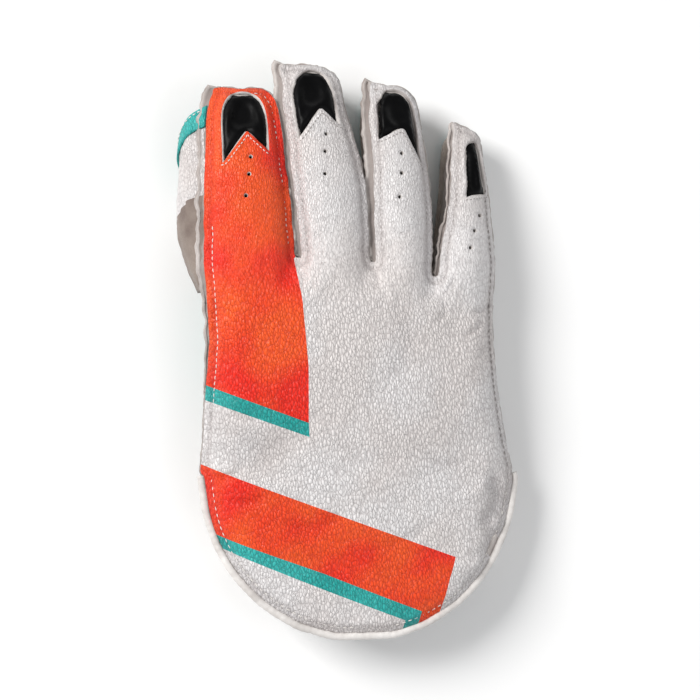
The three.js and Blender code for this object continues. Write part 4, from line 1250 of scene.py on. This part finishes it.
def thumb_low_surface(points):
    return np.maximum(thumb_low_skin(points) + PIMPLE * 0.6, PIMPLE)


add_rubber("thumb_lower", "thumb_palm", thumb_edge, [], 1.8 * COARSE, thumb_low_surface, THUMB_RUBBER)

# The web between the index stall and the thumb

WEB_LOW = 32.7  # y of the web's low end, then of its top edge at the index stall and at the thumb
WEB_TOP = 130.9
WEB_THUMB_TOP = 94.3
WEB_BULGE = 11.0  # how far it stands off the index stall
WEB_FULL = 0.45  # of the web's length, where its bulge is full
WEB_LINE_PARTS = 200  # in which a fold is cut
WEB_TOP_LENGTH = 98.0
THUMB_SEAM_Z = 11.2
STRIP_WIDTH = 12.0
STRIP_RISE = 1.6  # off the web's middle

index_side = outline_edge.path[(outline_edge.path[:, 0] < -58) & (outline_edge.path[:, 1] > 0)]
index_side = index_side[np.argsort(index_side[:, 1])]
thumb_side = thumb_edge.path[thumb_edge.path[:, 0] < -40]


def side_x(side, y):
    """The leftmost x of a set of points near each y."""
    levels = np.arange(side[:, 1].min(), side[:, 1].max(), 1.5)
    lefts = [side[np.abs(side[:, 1] - level) < 1.6, 0].min() for level in levels]
    return np.interp(y, levels, lefts)


def web_fold(v):
    """The web's line from the back's edge to the thumb's seam. v is 0 at its low end and 1 at its top."""
    up_y = WEB_LOW + (WEB_TOP - WEB_LOW) * v
    down_y = WEB_LOW + (WEB_THUMB_TOP - WEB_LOW) * v
    edge_x = side_x(index_side, up_y)
    up_z = back_heights(edge_x + 2, up_y) - LEATHER - 1.2
    thumb_x = side_x(thumb_side, down_y) - 0.8
    bulge = WEB_BULGE * np.sin(math.pi / 2 * np.clip(v / WEB_FULL, 0, 1))
    clear = edge_x - 1.4
    inner_x = min(clear - 0.5 * bulge, thumb_x)
    xs = np.array([edge_x + 2.2, clear - 0.6 * bulge, clear - bulge, inner_x, thumb_x])
    shares = np.array([0, 0.16, 0.5, 0.85, 1])
    return np.column_stack([xs, up_y + (down_y - up_y) * shares, up_z + (THUMB_SEAM_Z - up_z) * shares])


def web_grid(us, vs):
    """Rows of points along the web's folds, one row for each v."""
    rows = []
    for v in vs:
        spots = web_fold(v)
        length = np.linalg.norm(np.diff(spots, axis=0), axis=1).sum()
        line = resampled(spots, length / WEB_LINE_PARTS, closed=False)
        at = np.clip((np.asarray(us) * (len(line) - 1)).round().astype(int), 0, len(line) - 1)
        rows.append(line[at])
    return np.array(rows)


us = np.linspace(0, 1, 34)
vs = np.linspace(0, 1, int(56 / COARSE))
grid = web_grid(us, vs)


def surface_normals(grid):
    """The normals of the web's grid, away from the hand."""
    normals = unit(np.cross(np.gradient(grid, axis=1), np.gradient(grid, axis=0)))
    return normals * np.sign(-normals[:, :, 0].sum())


normals = surface_normals(grid)
flat_grid = grid.reshape(-1, 3)
folds = 0.8 * rough(flat_grid * (1, 0.4, 1), 8.0, 4.4) + 0.3 * rough(flat_grid, 3.4, 9.4)
folds = folds.reshape(grid.shape[:2])
fade = np.minimum(1, 5 * np.minimum(us, 1 - us))[None, :]
web = grid + normals * (folds * fade)[..., None]
points, faces = lofted(web)
# The suede's cut end runs up a little towards the back of the hand
suede_ends = 0.4 + 0.1 * (1 - us[:-1]) + 0.015 * np.sin(9 * us[:-1])
ids = np.concatenate([v <= suede_ends for v in vs[:-1]])
web_piece = add_object("thumb_web", points, faces, [WHITE, SUEDE], "web", ids, 0.3)
thicken(web_piece, WEB_LEATHER)

strip_vs = np.linspace(1 - STRIP_WIDTH / WEB_TOP_LENGTH, 1.004, 9)
strip_us = np.linspace(0.04, 0.97, 40)
strip = web_grid(strip_us, np.minimum(strip_vs, 1.0))
strip_normals = surface_normals(strip)
strip = strip + strip_normals * STRIP_RISE
# Its last row folds over the web's edge
strip[-1] = strip[-2] + (strip[-2] - strip[-3]) * 0.6 - strip_normals[-1] * 1.2
points, faces = lofted(strip)
strip_piece = add_object("web_edge_strip", points, faces, [TEAL], "web_strip", grime_and_shade=0.1)
thicken(strip_piece, STRIP_LEATHER)

# The bound edges of the cuff

PIPING_RADIUS = 2.05
PIPING_SIDES = 14
PIPING_FLATNESS = 0.92
PALM_PIPING_END = -120  # y up to which the palm's flap is bound
CUFF_PITCH = 3.6  # of the cuff's stitches


def binding(name, stands_for, line, heights, rise, seed):
    """A bound edge along a flap, drawn in by its stitches."""
    line = resampled(line, COARSE, closed=False)
    arc = np.arange(len(line)) * COARSE
    z = heights(*line.T) + rise + 0.3 * rough(arc, 17, seed)
    sway = 0.35 * rough(arc, 8, seed + 2)[:, None]
    middle = np.column_stack([line + inward(line, closed=False) * sway, z])
    tuck = 0.1 * np.cos(2 * math.pi * arc / CUFF_PITCH)
    wrinkle = rough(np.column_stack([arc, 0 * arc]), 2.4, seed + 5) * 0.14
    radius = np.repeat((PIPING_RADIUS + tuck + wrinkle)[:, None], PIPING_SIDES, 1)
    across = np.tile(circle_of(PIPING_SIDES)[:, 0], len(arc)) * 4
    dents = rough(np.column_stack([np.repeat(arc, PIPING_SIDES), across]), 2.2, seed + 8)
    radius += 0.12 * dents.reshape(radius.shape)
    points, faces = tube(middle, radius, PIPING_SIDES, PIPING_FLATNESS)
    add_object(name, points, faces, [PIPING], stands_for)


def run_of(kept):
    """The places of a closed line that are kept, in one run."""
    start = int(np.argmax(kept & ~np.roll(kept, 1)))
    order = np.roll(np.arange(len(kept)), -start)
    return order[: int(np.argmin(kept[order]))]


back_cut = resampled(back_loops[0], 1.4 * COARSE)
back_run = back_cut[run_of(back_cut[:, 1] < CUFF_CORNER - 2)]
palm_run = palm_outline[run_of(palm_outline[:, 1] < PALM_PIPING_END)]
binding("cuff_piping_back", "cuff_binding_back", back_run, back_heights, -1.0, 3.0)
binding("cuff_piping_palm", "cuff_binding_palm", palm_run, palm_heights, 2.3, 6.0)

# Stitches

STITCH_LIFT = 0.12
LINE_STEP = 1.1  # of the lines that stitches follow
path_normals = inward(path, window=12)


def on_back(line):
    return np.column_stack([line, back_surface(line) + STITCH_LIFT])


def inset(distance, kept):
    """A line on the back at a distance inside its edge, along the places of the edge that are kept."""
    ids = run_of(kept)
    return on_back(resampled((path[ids] + path_normals[ids] * distance)[::4], LINE_STEP, closed=False))


stitches = Stitches()
x, y = path.T
stitches.row(inset(CUFF_SEAM, y < CUFF_CORNER - 4), CUFF_PITCH, 2.4, 0.32)
stitches.row(inset(4.2, (x < -60) & (y > -26) & (y < 66)), 3.2, 2.3, 0.3)
# Stitches on white leather take the grey thread of painted shade
stitches.row(inset(2.6, (x > 58) & (y > -62) & (y < 112)), 3.4, 2.4, 0.3, in_painted_shade=True)
for finger in range(4):
    kept = (labels == finger) & (y > 52)
    if finger == 0:
        kept &= (x > -60) & (y > 56)
    stitches.row(inset(SEAM, kept), 3.0, 2.0, 0.26, seed=finger, in_painted_shade=finger > 0)
for ring in window_loops:
    normals = inward(ring, window=1)
    tongue = (ring - normals * 1.7)[run_of(normals[:, 1] > 0.25)]
    on_white = finger_at(ring.mean(0)[0]) != "index"
    stitches.row(on_back(tongue), 2.3, 1.6, 0.27, in_painted_shade=on_white)
stitches.add("back_stitches")

strip_stitches = Stitches()
edge_line = strip[-3] + strip_normals[-3] * 0.9
strip_stitches.row(edge_line[2:-2], 2.8, 2.0, 0.32)
strip_stitches.add("web_stitches")

# Each leather or rubber piece as it was cut: width and length in metres, area in square metres, how it is
# held, and what it rests on
CUTS = [
    ("back_of_hand", 0.185, 0.308, 0.045, "stretched", ["palm"]),
    ("palm", 0.180, 0.305, 0.0415, "laid", ["thumb_upper"]),
    ("palm_rubber", 0.170, 0.180, 0.0225, "laid", ["thumb_upper"]),
    ("side_strip_index", 0.033, 0.215, 0.0066, "stretched", ["palm"]),
    ("side_strip_middle", 0.039, 0.235, 0.0086, "stretched", ["palm"]),
    ("side_strip_ring", 0.040, 0.225, 0.0087, "stretched", ["palm"]),
    ("side_strip_little", 0.037, 0.195, 0.0069, "stretched", ["palm"]),
    ("side_strip_hand_inner", 0.029, 0.145, 0.0040, "stretched", ["palm"]),
    ("side_strip_hand_outer", 0.035, 0.147, 0.0050, "stretched", ["palm"]),
    ("thumb_upper", 0.053, 0.140, 0.0053, "stretched", ["thumb_lower"]),
    ("thumb_lower", 0.050, 0.138, 0.0050, "laid", ["floor"]),
    ("thumb_web", 0.046, 0.105, 0.0040, "folded", ["thumb_upper"]),
    ("web_edge_strip", 0.012, 0.052, 0.0006, "folded", ["thumb_web"]),
]
for name, width, length, area, held, under in CUTS:
    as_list(under)

# Floor, light and camera

floor_mesh = bpy.data.meshes.new("floor")
floor_mesh.from_pydata([(-3, -3, 0), (3, -3, 0), (3, 3, 0), (-3, 3, 0)], [], [(0, 1, 2, 3)])
floor = bpy.data.objects.new("floor", floor_mesh)
floor.location.z = -0.0003
bpy.context.scene.collection.objects.link(floor)
paper = Shader("paper", **{"Base Color": (0.93, 0.93, 0.93, 1), "Roughness": 0.9})
floor_mesh.materials.append(paper.material)


def area_light(name, place, aim, size, power, colour=(1, 1, 1)):
    data = bpy.data.lights.new(name, "AREA")
    data.size = size
    data.energy = power
    data.color = colour
    light = bpy.data.objects.new(name, data)
    light.location = place
    light.rotation_euler = (Vector(aim) - Vector(place)).to_track_quat("-Z", "Y").to_euler()
    bpy.context.scene.collection.objects.link(light)


area_light("key", (-1.7, 0.95, 1.6), (0, 0, 0), 1.0, 62, (1, 0.99, 0.975))
area_light("fill", (0.8, -0.6, 1.1), (0, 0, 0), 1.2, 6, (0.95, 0.975, 1))

world = bpy.data.worlds.new("studio")
bpy.context.scene.world = world
world.use_nodes = True
background = world.node_tree.nodes["Background"].inputs
background["Color"].default_value = (1, 1, 1, 1)
background["Strength"].default_value = 0.4

CAMERA_PLACE = Vector((-0.1265, 0.002, 0.902))
CAMERA_AIM = Vector((-0.0015, 0.002, 0.04))
camera_data = bpy.data.cameras.new("camera")
camera_data.lens = 85
camera = bpy.data.objects.new("camera", camera_data)
camera.location = CAMERA_PLACE
back_way = (CAMERA_PLACE - CAMERA_AIM).normalized()
right_way = Vector((0, 1, 0)).cross(back_way).normalized()
turned = Matrix((right_way, back_way.cross(right_way), back_way)).transposed()
camera.rotation_euler = turned.to_euler()
bpy.context.scene.collection.objects.link(camera)
bpy.context.scene.camera = camera
bpy.context.scene.view_settings.view_transform = "Standard"
